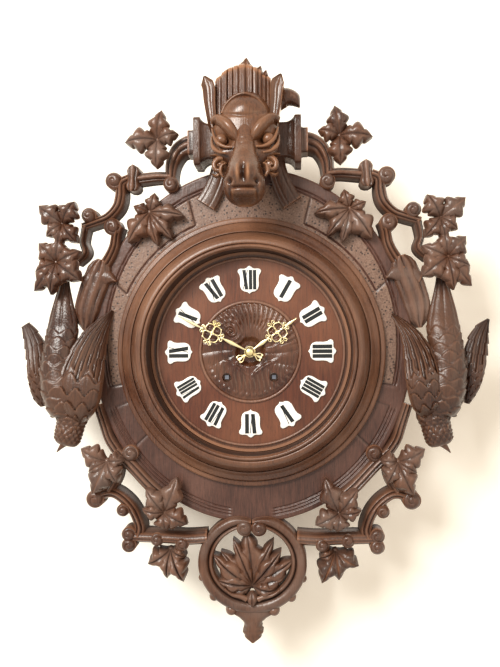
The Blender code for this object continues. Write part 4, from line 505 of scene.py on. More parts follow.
# Bore: painted shade, nearly black and dull, so that the dial seems to lie deep.
bore_shade_walnut = wood("painted_shade_bore_walnut", "#120906", "#2E1A12", "#4A2E20", 1.6, 0.45)
bezel_rings = turned(rounded(bezel_profile))
bore = np.concatenate([bezel_rings[-5:], bezel_rings[:1]])
bezel = surface("bezel_turned", [bezel_rings[:-4], bore], [(turned_walnut, 0), (bore_shade_walnut, 1)])
stand_for(bezel, "turned_walnut", "bezel_ring")

# Dial: a round of reddish wood let into the bezel, with two turned beads. The middle is a carved
# medallion of shell flutes round a hollow, with a snail at the upper left and a fainter one right.
DIAL_HIGH = np.array(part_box("dial_board")[1]) * 1000
DIAL_EDGE = DIAL_HIGH[0]
DIAL_BACK, DIAL_FRONT = -DIAL_HIGH[1], 96.3
DIAL_BEAD = 103.0
MEDALLION = 55.0
PIPE_HOLE = 5.4
WINDING = ((-26.0, -28.0), (26.0, -28.0))
WINDING_HOLE = 4.8
COLLET_BORE, COLLET_EDGE, COLLET_RISE = 4.3, 5.6, 2.3


def step(value, low, high):
    """Rises smoothly from 0 at low to 1 at high."""
    share = np.clip((value - low) / (high - low), 0, 1)
    return share * share * (3 - 2 * share)


def rocaille(x, z):
    """Height of the medallion's carving in mm above the dial.

    A ring swells round the hollow middle. Fine flutes stand along its top and long ones lie to
    left and right. A snail winds round its own centre at the upper left, with a fainter one at the
    right. Below, two ridges meet in a heart's point over upright flutes, and scallops edge the foot.
    """
    reach, turn, wide = np.hypot(x, z), np.arctan2(x, z), np.abs(x)
    swell = 0.5 + 1.5 * step(reach, 7, 22) * step(reach, 53, 41)
    top = (np.abs(np.sin(26 * turn + 0.9 * np.sin(reach / 7))) - 0.5) * step(z, 4, 14) * step(reach, 24, 34)
    sides = (np.abs(np.sin(9 * turn + 0.035 * reach)) ** 0.7 - 0.6) * groove(z, 17) * step(reach, 13, 24)
    height = swell + 1.5 * top + 1.3 * sides - 3.4 * step(reach, 18, 11)
    for centre, strength in (((-21, 22), 1.0), ((23, 20), 0.5)):
        dx, dz = x - centre[0], z - centre[1]
        near = np.hypot(dx, dz)
        wind = np.cos(np.arctan2(dz, dx * np.sign(-centre[0])) - near * 1.15)
        mask = groove(near, 14.5)
        height = height * (1 - 0.6 * mask * strength) + strength * mask * (0.95 * wind + 1.1)
        height = height + 0.8 * strength * groove(near, 2.6)
    heart = z + 22 - 0.65 * (wide - 6) + 0.012 * (wide - 14) ** 2
    ridge = groove(heart, 2.0) * step(wide, 1, 6) * step(wide, 34, 26) * np.where(x > 0, 1.2, 0.8)
    foot = (np.abs(np.sin(0.62 * x + 0.8 * np.sin(z / 5))) - 0.5) * step(heart, -1, -5) * step(reach, 47, 42)
    scallop = groove(reach - 48.0, 2.8) * np.abs(np.sin(22 * turn)) * step(z, -10, -24)
    height = height + ridge - 0.7 * groove(heart - 5, 4) * step(wide, 36, 26) + 0.9 * foot + 1.3 * scallop
    return np.clip(height, -2.8, 3.6) * step(reach, 53.4, 52.0) * step(reach, PIPE_HOLE, PIPE_HOLE + 2)


def dial_rings():
    """Five grids: the carving from the pipe's hole out, a bead, the flat, a bead, then edge and back."""
    edges = (PIPE_HOLE, MEDALLION - 1.7, MEDALLION + 1.7, DIAL_BEAD - 1.5, DIAL_BEAD + 1.5, DIAL_EDGE)
    angle = full_turn(480)
    faces = []
    for low, high, count in zip(edges, edges[1:], (110, 11, 40, 11, 4)):
        reach = np.linspace(low, high, count)[:, None] + 0 * angle
        x, z = reach * np.sin(angle), reach * np.cos(angle)
        bead = np.sqrt(np.clip(1 - ((reach - MEDALLION) / 1.7) ** 2, 0, 1)) * 1.7
        bead += np.sqrt(np.clip(1 - ((reach - DIAL_BEAD) / 1.5) ** 2, 0, 1)) * 1.4
        faces.append(np.stack([x, z, DIAL_FRONT + rocaille(x, z) + bead], -1))
    back = np.stack([faces[-1][-1], faces[0][0]])
    back[..., 2] = DIAL_BACK
    return faces[:-1] + [np.concatenate([faces[-1], back, faces[0][:1]])]


def cut_holes(piece, places, radius):
    """Takes away the faces that touch a round hole and draws their edge onto its circle."""
    mesh = piece.data
    for place in places:
        spots = read(mesh.vertices, "co", 3)
        corners = read(mesh.loops, "vertex_index", kind=int)
        sizes = read(mesh.polygons, "loop_total", kind=int)
        owner = np.repeat(np.arange(len(sizes)), sizes)
        arms = spots[:, [0, 2]] * 1000 - place
        away = np.hypot(*arms.T)
        inside = away < radius
        touched = np.isin(owner, owner[inside[corners]])
        rim = np.setdiff1d(corners[touched], np.flatnonzero(inside))
        spots[rim[:, None], [0, 2]] = (place + arms[rim] * (radius / away[rim])[:, None]) / 1000
        mesh.vertices.foreach_set("co", spots.ravel())
        shape = bmesh.new()
        shape.from_mesh(mesh)
        shape.verts.ensure_lookup_table()
        gone = [shape.verts[index] for index in np.flatnonzero(inside)]
        bmesh.ops.delete(shape, geom=gone, context="VERTS")
        shape.to_mesh(mesh)
        shape.free()


# Dial wood: redder and flatter than the walnut, with fine upright streaks behind the plaques.
dial_wood = wood("reddish_dial_wood", "#32160C", "#6A3824", "#9A6546", 1.8, 0.34, figure=0.7)
# Beads: the same wood rubbed pale, a thin light line on either side of the hours.
bead_wood = wood("turned_dial_bead", "#452A1E", "#7C5442", "#A98570", 1.8, 0.30)
# Medallion: darker and glossier, so that its flutes flash.
medallion_wood = wood("carved_medallion_wood", "#180905", "#583020", "#A0745A", 1.4, 0.23)
collets = []
for place in WINDING:
    low = DIAL_FRONT + 0.2
    lip = low + COLLET_RISE
    ring = [(COLLET_BORE, DIAL_BACK), (COLLET_BORE, lip - 0.4), (COLLET_BORE + 0.4, lip)]
    ring += [(COLLET_EDGE - 0.3, lip - 0.4), (COLLET_EDGE, low), (COLLET_EDGE, DIAL_BACK)]
    ring = turned(rounded(ring), 48, place)
    collets.append(np.concatenate([ring, ring[:1]]))
# The dial's edge and back take the darker medallion wood as painted shade.
parts = [(medallion_wood, 1), (bead_wood, 2), (dial_wood, 0), (bead_wood, 2)] + [(medallion_wood, 1)] * 3
dial = surface("dial_carved", [*dial_rings(), *collets], parts)
cut_holes(dial, WINDING, WINDING_HOLE)
stand_for(dial, "red_dial_wood", "dial_board")

# Hour cartouches: twelve shields of copper sheet under thick white enamel, glossy and a little
# domed, with black hours fired on. Each is pinned to the dial with its crown outwards.
SHIELD_TALL, SHIELD_WIDE = 31.0, 26.0
SHIELD_SEAT, SHIELD_THICK = DIAL_FRONT + 0.3, 1.6
HOUR_RING = 79.0
SHIELD_HALF = (
    (0.0, 1.0), (0.14, 0.95), (0.26, 0.85), (0.40, 0.80), (0.56, 0.80), (0.74, 0.80), (0.92, 0.75),
    (1.0, 0.62), (0.96, 0.50), (0.84, 0.34), (0.79, 0.08), (0.80, -0.20), (0.79, -0.46), (0.68, -0.69),
    (0.45, -0.83), (0.18, -0.88), (0.0, -1.0),
)
HOURS = ("I", "II", "III", "IIII", "V", "VI", "VII", "VIII", "IX", "X", "XI", "XII")
# Each letter: its width, then the head, foot and thickness of its strokes, in widths of an I.
STROKES = {
    "I": (1.0, ((0.5, 0.5, 0.82),)),
    "V": (1.55, ((0.45, 0.80, 0.82), (1.40, 0.95, 0.15))),
    "X": (1.55, ((0.45, 1.10, 0.82), (1.30, 0.25, 0.15))),
}
HOUR_TALL, HOUR_WIDE, STROKE_MOST = 21.5, 16.0, 5.2


def on_dial(across, out, degrees):
    """A place from an hour's middle, across it and outwards, turned to the hour's angle."""
    angle = math.radians(degrees)
    out = HOUR_RING + np.asarray(out)
    x = out * math.sin(angle) + np.asarray(across) * math.cos(angle)
    return x, out * math.cos(angle) - np.asarray(across) * math.sin(angle)


def shield(degrees):
    """Rings from the back edge over a rounded border to the middle of the shield."""
    half = rounded(SHIELD_HALF, 4)
    outline = np.vstack([half, half[-2:0:-1] * (-1, 1)]) * (SHIELD_WIDE / 2, SHIELD_TALL / 2)
    shares = ((1.0, 0.0), (1.0, 0.45), (0.985, 0.75), (0.955, 0.93), (0.90, 1.0), (0.5, 1.0), (0.05, 1.0))
    rings = []
    for share, up in shares:
        x, z = on_dial(outline[:, 0] * share, outline[:, 1] * share, degrees)
        rings.append(np.stack([x, z, np.full(len(x), SHIELD_SEAT + SHIELD_THICK * up)], -1))
    return closed(rings)


def hour_strokes(letters, degrees):
    """Thin raised slabs for an hour's strokes, each from its head outwards to its foot inwards."""
    unit = min(STROKE_MOST, HOUR_WIDE / sum(STROKES[letter][0] for letter in letters))
    start = -unit * sum(STROKES[letter][0] for letter in letters) / 2
    slabs = []
    for letter in letters:
        for head, foot, thick in STROKES[letter][1]:
            left, right = -thick * unit / 2, thick * unit / 2
            across = start + unit * np.array([head, head, foot, foot]) + (left, right, right, left)
            x, z = on_dial(across, np.array([1, 1, -1, -1]) * HOUR_TALL / 2, degrees)
            levels = SHIELD_SEAT + SHIELD_THICK + np.array([-0.3, 0.10])
            slabs.append(closed([np.stack([x, z, np.full(4, level)], -1) for level in levels]))
        start += unit * STROKES[letter][0]
    return slabs


def fired(name, scale, detail, first, second, roughness):
    """A fired colour: two near tones in clouds, with one gloss. Gives the material and its shader."""
    made, tree, shader = new_material(name)
    place = add_node(tree, "TexCoord").outputs["Object"]
    cloud = add_node(tree, "TexNoise", {"Vector": place, "Scale": scale, "Detail": detail})
    tone = mixed(tree, cloud.outputs[0], linear(first), linear(second))
    tree.links.new(tone, shader.inputs["Base Color"])
    shader.inputs["Roughness"].default_value = roughness
    return made, shader


# Fired enamel: clean glossy white with a faint cloud, the lightest thing on the clock.
white_enamel, shader = fired("white_fired_enamel", 90.0, 3.0, "#FDFCF8", "#F2F0EA", 0.16)
shader.inputs["Coat Weight"].default_value = 0.4
shader.inputs["Coat Roughness"].default_value = 0.06
# Fired black: the hours, deep black with a soft gloss.
black_paint, _ = fired("black_fired_hours", 700.0, 2.0, "#060708", "#14181A", 0.3)
for number, letters in enumerate(HOURS, 1):
    strokes = hour_strokes(letters, 30.0 * number)
    parts = [(white_enamel, 0)] + [(black_paint, 1)] * len(strokes)
    plaque = surface(f"hour_shield_{number:02d}", [shield(30.0 * number), *strokes], parts)
    stand_for(plaque, "white_enamel", f"hour_cartouche_{number:02d}")

# Hands: pale gilt brass, sawn and filed from sheet. Each has a swelling arm, a bead, a rosette of
# four pierced scrolls with ball ends, a fine point and a small forked tail; a domed nut holds both.
MINUTE_LENGTH, MINUTE_TURN, MINUTE_ROSETTE = 87.0, 297.0, 46.0
HOUR_LENGTH, HOUR_TURN, HOUR_ROSETTE = 63.0, 54.75, 37.0
MINUTE_FRONT, HOUR_FRONT = 105.8, 100.6
MINUTE_EYE, HOUR_EYE = 3.5, 4.7
NUT_BORE = 2.3
SHEET = 1.2
ROSETTE = 12.0
WIRE = 0.62
SCROLL = np.array(
    [(0.10, 0.0), (0.30, 0.34), (0.64, 0.40), (0.88, 0.0), (0.64, -0.40), (0.30, -0.34), (0.10, 0.0)]
)
SCROLL_CURL = np.array([(0.62, 0.36), (0.70, 0.62), (0.92, 0.66), (0.96, 0.44), (0.80, 0.42)])
SCROLL_TIPS = np.array([(0.90, 0.0), (0.80, 0.46), (0.80, -0.46)])
BOW = ((0, 0), (-4, 1.4), (-7.5, 3.8), (-10.5, 3.4), (-10, 1.4), (-6, 0.4))
ARM_HALVES = ((0.0, 0.864), (0.25, 1.152), (0.6, 2.16), (0.82, 1.584), (0.93, 0.792), (1.0, 0.792))


def smooth(points, count):
    """Evenly spaced points on a smooth curve through the given ones."""
    curve = rounded(points, 24, 0.5)
    run = np.concatenate([[0], np.cumsum(np.linalg.norm(np.diff(curve[:, :2], axis=0), axis=1))])
    even = np.linspace(0, run[-1], count)
    return np.stack([np.interp(even, run, column) for column in curve.T], -1)


def drawn(points, side, count=44):
    """A smooth line through places on the right; side -1 mirrors it to the left."""
    return smooth(np.array(points) * (side, 1), count)


def graded(count, keys, values):
    """Values at evenly spaced points from 0 to 1, straight between the given ones."""
    return np.interp(np.linspace(0, 1, count), keys, values)


def swept(path, front, across, up):
    """Rings of a cross section carried along a flat path, square to it.

    Across and up hold one row of places to each point of the path: across its line, and forward
    of the level front.
    """
    run = np.gradient(path, axis=0)
    run /= np.linalg.norm(run, axis=1)[:, None]
    side = np.stack([-run[:, 1], run[:, 0]], -1)
    flat = path[:, None] + side[:, None] * across[..., None]
    level = np.broadcast_to(np.asarray(front, float).reshape(-1, 1) + up, flat.shape[:2])
    return np.concatenate([flat, level[..., None]], -1)


def tube(path, front, half, thick, steps=10):
    """A closed round or oval rod along a path."""
    around = full_turn(steps)
    half = np.broadcast_to(half, len(path))[:, None]
    return closed(swept(path, front, half * np.cos(around), thick * np.sin(around) + 0 * half))


def ball(centre, front, radius, squash=1.0, steps=20):
    """A ball, flattened towards the wall by squash."""
    lift = np.linspace(-math.pi / 2, math.pi / 2, steps // 2 + 1)
    profile = np.stack([radius * np.cos(lift), front + radius * squash * np.sin(lift)], -1)
    return turned(profile, steps, centre)


def rosette(centre):
    """Four pierced scrolls set crosswise about a place on the hand, with balls at their ends."""
    made, balls = [], []
    for turn in np.radians([45, 135, 225, 315]):
        lean = ROSETTE * np.array([[math.cos(turn), math.sin(turn)], [-math.sin(turn), math.cos(turn)]])
        made.append((smooth(SCROLL @ lean + (centre, 0.0), 40), WIRE))
        for flip in ((1, 1), (1, -1)):
            made.append((smooth(SCROLL_CURL * flip @ lean + (centre, 0.0), 18), WIRE * 0.8))
        balls += [(spot, 1.0) for spot in SCROLL_TIPS @ lean + (centre, 0.0)]
    balls += [(np.array([centre + reach * ROSETTE, 0.0]), 1.5) for reach in (-1, 1, 0)]
    return made, balls


def hand_grids(length, place, front, eye, degrees):
    """Grids of a hand laid along its own line and then turned to where it points."""
    level = front + SHEET / 2
    angle = math.radians(90 - degrees)
    spin = np.array([[math.cos(angle), math.sin(angle)], [-math.sin(angle), math.cos(angle)]])

    def rod(path, half, thick=SHEET / 2):
        return tube(np.asarray(path, float) @ spin, level, half, thick)

    arm = np.linspace((eye, 0.0), (place - ROSETTE, 0.0), 24)
    swell = graded(24, *np.array(ARM_HALVES).T)
    point = np.linspace((place + ROSETTE, 0.0), (length, 0.0), 24)
    spear = graded(24, (0, 0.12, 0.3, 0.6, 1), (1.0, 1.0, 1.7, 1.2, 0.35))
    grids = [rod(arm, swell, SHEET / 2 + 0.1), rod(point, spear)]
    wires, balls = rosette(place)
    grids += [rod(path, half) for path, half in wires]
    for side in (-1, 1):
        bow = np.array(BOW) * (1, side) - (eye, 0)
        grids.append(rod(smooth(bow, 30), 0.6))
        balls.append((np.array([-eye - 10.5, side * 3.2]), 1.2))
    grids.append(rod([(-eye, 0.0), (-eye - 5, 0.0), (-eye - 10, 0.0)], 0.7))
    balls.append((np.array([-eye - 10.5, 0.0]), 1.3))
    grids += [ball(spot @ spin, level, size, 0.55) for spot, size in balls]
    top = front + SHEET
    boss = [(eye, front), (eye + 0.4, front), (eye + 1.5, front), (eye + 1.8, level), (eye + 1.4, top)]
    return grids + [turned(boss + [(eye, top), (eye, front)], 40)]


minute_grids = hand_grids(MINUTE_LENGTH, MINUTE_ROSETTE, MINUTE_FRONT, MINUTE_EYE, MINUTE_TURN)
minute = surface("minute_hand_filed", minute_grids, gilt_brass)
stand_for(minute, "gilt_brass", "minute_hand", body="centre_arbor")
hour_grids = hand_grids(HOUR_LENGTH, HOUR_ROSETTE, HOUR_FRONT, HOUR_EYE, HOUR_TURN)
hour = surface("hour_hand_filed", hour_grids, gilt_brass)
stand_for(hour, "gilt_brass", "hour_hand", body="hour_work")
NUT_LOW, NUT_HIGH = (np.array(corner) * 1000 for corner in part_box("hand_nut"))
nut_back, nut_top = -NUT_HIGH[1], -NUT_LOW[1]
nut_profile = [
    (NUT_BORE, nut_back), (NUT_HIGH[0], nut_back), (NUT_HIGH[0], nut_back + 1.0), (4.7, nut_back + 1.9),
    (4.0, nut_top - 1.1), (2.9, nut_top - 0.4), (1.5, nut_top), (0.0, nut_top + 0.1), (0.0, nut_back + 2.5),
    (NUT_BORE, nut_back + 2.5), (NUT_BORE, nut_back),
]
nut = surface("hand_nut_turned", [turned(nut_profile, 48)], gilt_brass)
stand_for(nut, "gilt_brass", "hand_nut", body="centre_arbor")

# Scrollwork: four fretted frames of walnut round the board, two to a side, sawn to outline and
# carved with reeds. The bands end in eyes with a cut spiral, and are screwed on from behind.
FRET_BACK, FRET_FRONT = 74.0, 98.0
# Each band: places along the rim in degrees, mm out from it, widths, and the number of reeds.
UPPER_BANDS = (
    ((16, 18.5, 21.5, 24.5, 26.5, 28), (36, 38, 36, 27, 16, 4), (26, 21, 14, 12, 12), 3),
    ((27, 31, 37), (14, 23, 36), (12, 13, 13), 2),
    ((38, 40.5, 43, 46, 50, 53, 56.5), (40, 42, 33, 27, 28, 35, 46), (13, 14, 15, 13, 11), 3),
    ((56, 60, 62.5, 66), (44, 38, 30, 36), (10, 9, 11), 2),
    ((50, 53, 56.5, 60.5, 66), (12, 9, 4, 3, 6), (12, 14, 16), 3),
)
LOWER_BANDS = (
    ((109, 116, 121, 127), (4, 5, 7, 6), (12, 14), 3),
    ((125, 131, 142, 150), (8, 3, 3, 4), (16, 17), 3),
    ((127, 131.5, 133), (8, 24, 40), (12, 11), 2),
    ((132, 132.5, 134.5, 138.5, 142.5, 146, 147), (60, 46, 37, 34, 37, 46, 56), (14, 14, 15), 3),
    ((145.5, 154, 160, 165.7), (60, 40, 31, 22.7), (15, 16), 4),
)
# Each eye: degrees along the rim, mm out from it and up, its radius, and which way it winds.
UPPER_EYES = ((28, 6, 0, 8.5, 1), (41.5, 49, 0, 9.5, -1), (51.5, 17, 0, 9.5, -1), (53, 46, 0, 8.5, 1))
LOWER_EYES = (
    (128.5, -6, 0, 9.0, 1), (132, 57, 0, 10.0, -1), (139.5, 43, 0, 7.0, 1), (145.5, 64, 6, 8.0, 1),
    (145.5, 64, -6, 8.0, -1), (152, 46, 0, 7.5, 1), (159, 38, 0, 7.5, -1),
)


def carved(path, half, back, rise, relief, across=19):
    """A closed carved strip along a path.

    Half holds the half width at each point. Heights over the back are rise times relief(u, v),
    with u from 0 to 1 along the strip and v from -1 to 1 across it; the underside is flat.
    """
    u = np.linspace(0, 1, len(path))[:, None]
    v = np.sin(np.linspace(-1, 1, across) * math.pi / 2)[None, :]
    half = np.broadcast_to(half, len(path))[:, None]
    up = np.hstack([np.asarray(rise).reshape(-1, 1) * relief(u, v), 0 * half, 0 * half])
    return closed(swept(path, back, np.hstack([half * v, half, -half]), up))


def reeded(reeds=3, edge=0.32):
    """Relief of a band: a low round with reeds side by side, parted by sharp valleys."""

    def relief(u, v):
        reed = np.abs(np.cos(reeds * math.pi / 2 * v)) ** 0.7
        return edge + (1 - edge) * (0.85 * (1 - v**2 + 1e-9) ** 0.4 + 0.15 * reed) + 0 * u

    return relief


def band(degrees, out, widths, reeds, side):
    """A reeded band along places set out from the rim."""
    path = smooth(rim_point(degrees, out, side), 64)
    half = smooth(np.column_stack([np.linspace(0, 1, len(widths)), widths]), 64)[:, 1] / 2
    return carved(path, half, FRET_BACK, FRET_FRONT - FRET_BACK, reeded(reeds))


def eye(place, radius, side, hand, turns=1.15):
    """A round volute: a dome with a spiral valley that winds from its wall in to its middle."""
    share = np.concatenate([np.linspace(0, 1, 26), [1.0]])[:, None]
    around = full_turn(56)
    spiral = np.abs(np.sin(0.5 * (side * hand * around - 2 * math.pi * turns * share))) ** 0.5
    dome = np.sqrt(1 - 0.8 * share**2)
    lip = spiral * step(share, 0.1, 0.3) + step(share, 0.3, 0.1)
    height = (FRET_FRONT + 2 - FRET_BACK) * (0.62 + 0.33 * dome + 0.07 * lip)
    height[-1] = 0.0
    x = place[0] + radius * share * np.cos(around)
    z = place[1] + radius * share * np.sin(around)
    return closed(np.stack([x, z, FRET_BACK + height], -1))


def fluted(u, v):
    """Relief of a broad blade: three long flutes that spread, sinking towards its end."""
    flute = np.abs(np.sin(1.5 * math.pi * (v + 0.12 * u))) ** 0.6
    return 0.62 + 0.08 * flute + 0.28 * np.sqrt(1 - v**2 + 1e-9) - 0.12 * step(u, 0.75, 1.0)


def blade(side):
    """The broad leaf that runs from under the upper scroll down to the bird's tail."""
    path = smooth(rim_point([62, 66.5, 73, 78.5, 85], [8, 7, 8, 9, 8], side), 72)
    half = graded(72, [0, 0.06, 0.14, 0.35, 0.7, 0.9, 1.0], [6, 11, 14, 15, 14, 10, 3])
    return carved(path, half, FRET_BACK, FRET_FRONT + 1 - FRET_BACK, fluted, 25)


def staggered(grids):
    """The grids, each a hair further from the wall than the last, so that no backs share a plane."""
    return [grid + (0.0, 0.0, 0.06 * number) for number, grid in enumerate(grids)]


def fretted(bands, eyes, side):
    """Grids of a frame: its bands and then its eyes."""
    grids = [band(*row, side) for row in bands]
    for degrees, out, up, radius, hand in eyes:
        grids.append(eye(rim_point(degrees, out, side) + (0.0, up), radius, side, hand))
    return grids


def upper_scroll(side):
    """Grids of an upper frame: stem, rail, C scrolls and eyes, a blade with its flap, a knuckle."""
    grids = fretted(UPPER_BANDS, UPPER_EYES, side) + [blade(side)]
    flap = drawn([(186, 78), (171, 84), (158, 83.5), (149, 79.5)], side, 40)
    flap_half = graded(40, [0, 0.4, 0.75, 1], [7, 11.5, 8, 1])
    grids.append(carved(flap, flap_half, BOARD_FRONT - 1, 8.5, reeded(1, 0.4)))
    bone = rim_point(37, 36, side) + np.linspace((-1.0 * side, 14.5), (1.0 * side, -14.5), 40)
    swell = graded(40, [0, 0.06, 0.2, 0.36, 0.5, 0.64, 0.8, 0.94, 1], [2, 6, 8, 6.8, 6.2, 6.8, 8, 6, 2])
    grids.append(carved(bone, swell, FRET_BACK, FRET_FRONT + 4 - FRET_BACK, reeded(2, 0.5)))
    return staggered(grids)


# Leaves: vine leaves carved one by one from walnut and glued in front of the scrolls. Each lobe is
# a full smooth cushion, scalloped towards its tip, with a fine cut midrib and faint side veins.
LEAF_BACK = 98.3
LEAF_RISE = 10.0
LEAF_ARCH = 6.5


def leaf_relief(u, v):
    """Relief of a lobe: a cushion on each side of the midrib, low at the root and full past it."""
    cushion = np.sqrt(np.clip(1 - 0.97 * v**2, 0, 1)) + 0.16 * np.sin(math.pi * np.abs(v))
    along = 0.42 + 0.58 * np.sin(math.pi * np.clip(0.06 + 0.72 * u, 0, 1))
    rib = 0.05 * groove(v, 0.05 + 0.04 * u) * step(u, 0.97, 0.75)
    vein = 0.04 * groove(((3.2 * u - 1.6 * np.abs(v)) % 1) - 0.5, 0.12) * step(np.abs(v), 0.1, 0.4)
    return np.clip(along * (0.14 + 0.86 * cushion) - rib - vein, 0.10, 1.1)


def lobe(root, heading, length, width, back, rise, side, bend, arch):
    """One lobe along its midrib: a broad pointed oval with scallops, arched off the ground."""
    angle = math.radians(heading)
    u = np.linspace(0, 1, 56)
    along = np.array([math.cos(angle), math.sin(angle)])
    aside = np.array([-along[1], along[0]])
    path = length * (u[:, None] * along + bend * (u * u)[:, None] * aside) * (side, 1) + root
    outline = 0.92 * np.sin(math.pi * u) ** 0.78 + 0.14 * (1 - u) ** 2
    scallop = np.abs(np.sin(math.pi * (2.7 * u**1.1 + 0.12))) ** 0.8
    half = width / 2 * outline * (0.78 + 0.40 * scallop * step(u, 0.1, 0.35)) * (1 - 0.4 * u**4)
    level = back + arch * np.sin(math.pi * np.clip(0.1 + 0.85 * u, 0, 1))
    return carved(path, half, level, rise, leaf_relief, 23)


def leaf(place, lobes, side, back=LEAF_BACK, rise=LEAF_RISE, arch=LEAF_ARCH):
    """A leaf's lobes round its heart, each at its own height, with a boss where the ribs meet."""
    grids = []
    for number, (heading, length, width) in enumerate(lobes):
        bend = 0.12 * math.sin(2.4 * number + heading)
        height = rise * (0.85 + 0.15 * ((number * 2) % 3))
        grids.append(lobe(np.asarray(place), heading, length, width, back, height, side, bend, arch))
    return grids + [ball(place, back + rise * 0.45, 4.0, 1.0)]


# Each lobe: where it points in degrees, its length and its width in mm.
CREST_LEAF = ((95, 33, 23), (2, 35, 27), (268, 31, 26), (158, 24, 21))
RIM_LEAF = ((112, 22, 18), (182, 39, 21), (228, 39, 19), (262, 38, 18), (310, 41, 27), (15, 19, 15))
OUTER_UPPER = ((34, 34, 25), (120, 28, 25), (322, 23, 19), (278, 26, 20), (235, 27, 21))
OUTER_LOWER = (
    (55, 29, 24), (212, 34, 29), (330, 25, 21), (302, 40, 24), (274, 36, 21), (162, 30, 24), (104, 30, 20),
)
SIDE_LEAF = ((20, 32, 26), (288, 39, 26), (334, 23, 19), (170, 19, 19), (238, 26, 22))
LOWER_LEAF = ((118, 41, 24), (58, 33, 22), (203, 29, 24), (268, 20, 23), (4, 24, 19))
HALF_LEAF = ((322, 30, 24), (243, 37, 24), (282, 31, 22), (196, 19, 17))
for side, end in ((1, "right"), (-1, "left")):
    made = surface(f"upper_scroll_carved_{end}", upper_scroll(side), carved_walnut)
    stand_for(made, "carved_walnut", f"upper_scroll_{end}")
    half_leaf = leaf(rim_point(156.5, 52, side), HALF_LEAF, side, FRET_BACK, 19.0)
    frets = staggered(fretted(LOWER_BANDS, LOWER_EYES, side))
    made = surface(f"lower_scroll_carved_{end}", frets + half_leaf, carved_walnut)
    stand_for(made, "carved_walnut", f"lower_scroll_{end}")
    outer = leaf(rim_point(58.5, 63, side), OUTER_UPPER, side)
    outer += leaf(rim_point(68, 52, side), OUTER_LOWER, side)
    sets = {
        "crest_leaf": leaf(rim_point(25.5, 53, side), CREST_LEAF, side),
        "rim_leaf": leaf(rim_point(39.5, -5, side), RIM_LEAF, side, BOARD_FRONT + 0.3, 11.0, 4.0),
        "outer_leaves": outer,
        "side_leaf": leaf(rim_point(126, 18, side), SIDE_LEAF, side),
        "lower_leaf": leaf(rim_point(150, 13, side), LOWER_LEAF, side),
    }
    for name, grids in sets.items():
        made = surface(f"{name}_carved_{end}", grids, carved_walnut)
        stand_for(made, "carved_walnut", f"{name}_{end}")

# Birds: two dead game birds carved whole in walnut, hung head down by the tail as a hunter hangs
# them. Their wings are half open, the near one over the board, and no two are carved alike.
# Stations of body and wings: place, level from the wall, half the width, and depth, in mm.
BIRD_BODY = (
    (210, 84, 86, 5, 3), (210, 74, 88, 6.5, 3), (210, 60, 91, 10, 5), (209.5, 42, 95, 14.5, 7),
    (209, 26, 98, 17.5, 11), (211, 4, 101, 18.5, 16), (212, -18, 103, 20.5, 19), (208, -38, 105, 23, 22),
    (202, -56, 105, 23, 21), (198, -68, 103, 20, 17), (199, -78, 103, 16, 15), (201, -88, 105, 15.5, 14),
    (203, -97, 106, 14, 10), (204, -101, 106, 10, 6),
)
NEAR_WINGS = {
    -1: (
        (189, -76, 106, 6, 13), (188, -66, 110, 15, 21), (186, -50, 113, 22, 25), (184, -30, 111, 23, 24),
        (180, -8, 106, 20.5, 20), (173, 14, 101, 15.5, 15), (164, 32, 96, 8.5, 10), (154, 47, 93, 1.5, 5),
    ),
    1: (
        (194, -73, 106, 5, 11), (191, -64, 110, 12, 19), (188.5, -54, 113, 16.5, 23),
        (186, -34, 112, 18.5, 23), (181.5, -6, 107, 16.5, 19), (172, 19, 100, 9.5, 12),
        (155.5, 40, 93, 1.5, 5),
    ),
}
FAR_WINGS = {
    -1: (
        (234, -60, 92, 3, 8), (236, -49, 92, 8.5, 14), (238.5, -30, 91, 11.5, 15), (241, -10, 90, 12.5, 13),
        (245, 8, 88, 12, 10), (251, 22, 86, 9, 8), (257, 32, 85, 5.5, 6),
    ),
    1: (
        (235, -58, 92, 2.5, 8), (237.5, -48, 92, 6, 13), (241.5, -32, 91, 9.5, 15), (246, -3, 89, 13, 12),
        (252, 19, 87, 9.5, 9), (261, 33.5, 85, 1.5, 6),
    ),
}
# Feathers lie on a round of this radius. Their widths in mm let each row close on itself.
BIRD_GIRTH = 20.0
BODY_FEATHER, NECK_FEATHER = (9.0, 20.94), (4.2, 8.976)


def shingles(along, across, pitch, width):
    """Overlapping feathers: each rises from its root to a rounded edge, where the next one starts.

    Rows start at every pitch along, shifted by half a width from row to row. A feather is one and
    a half rows long at its middle, and covers the row behind it as far as its edge.
    """
    row = np.floor(along / pitch)
    height = None
    for back in (0, 1):
        k = row - back
        y = along / pitch - k
        x = (across / width + 0.5 * (k % 2)) % 1 - 0.5
        scale = y / 1.6 - 0.12 * groove(x, 0.05) - 0.5 * np.abs(x) ** 1.5
        covers = y < 1.6 - 2.2 * np.abs(x) ** 1.6
        height = scale if height is None else np.where(covers, scale, height)
    return height


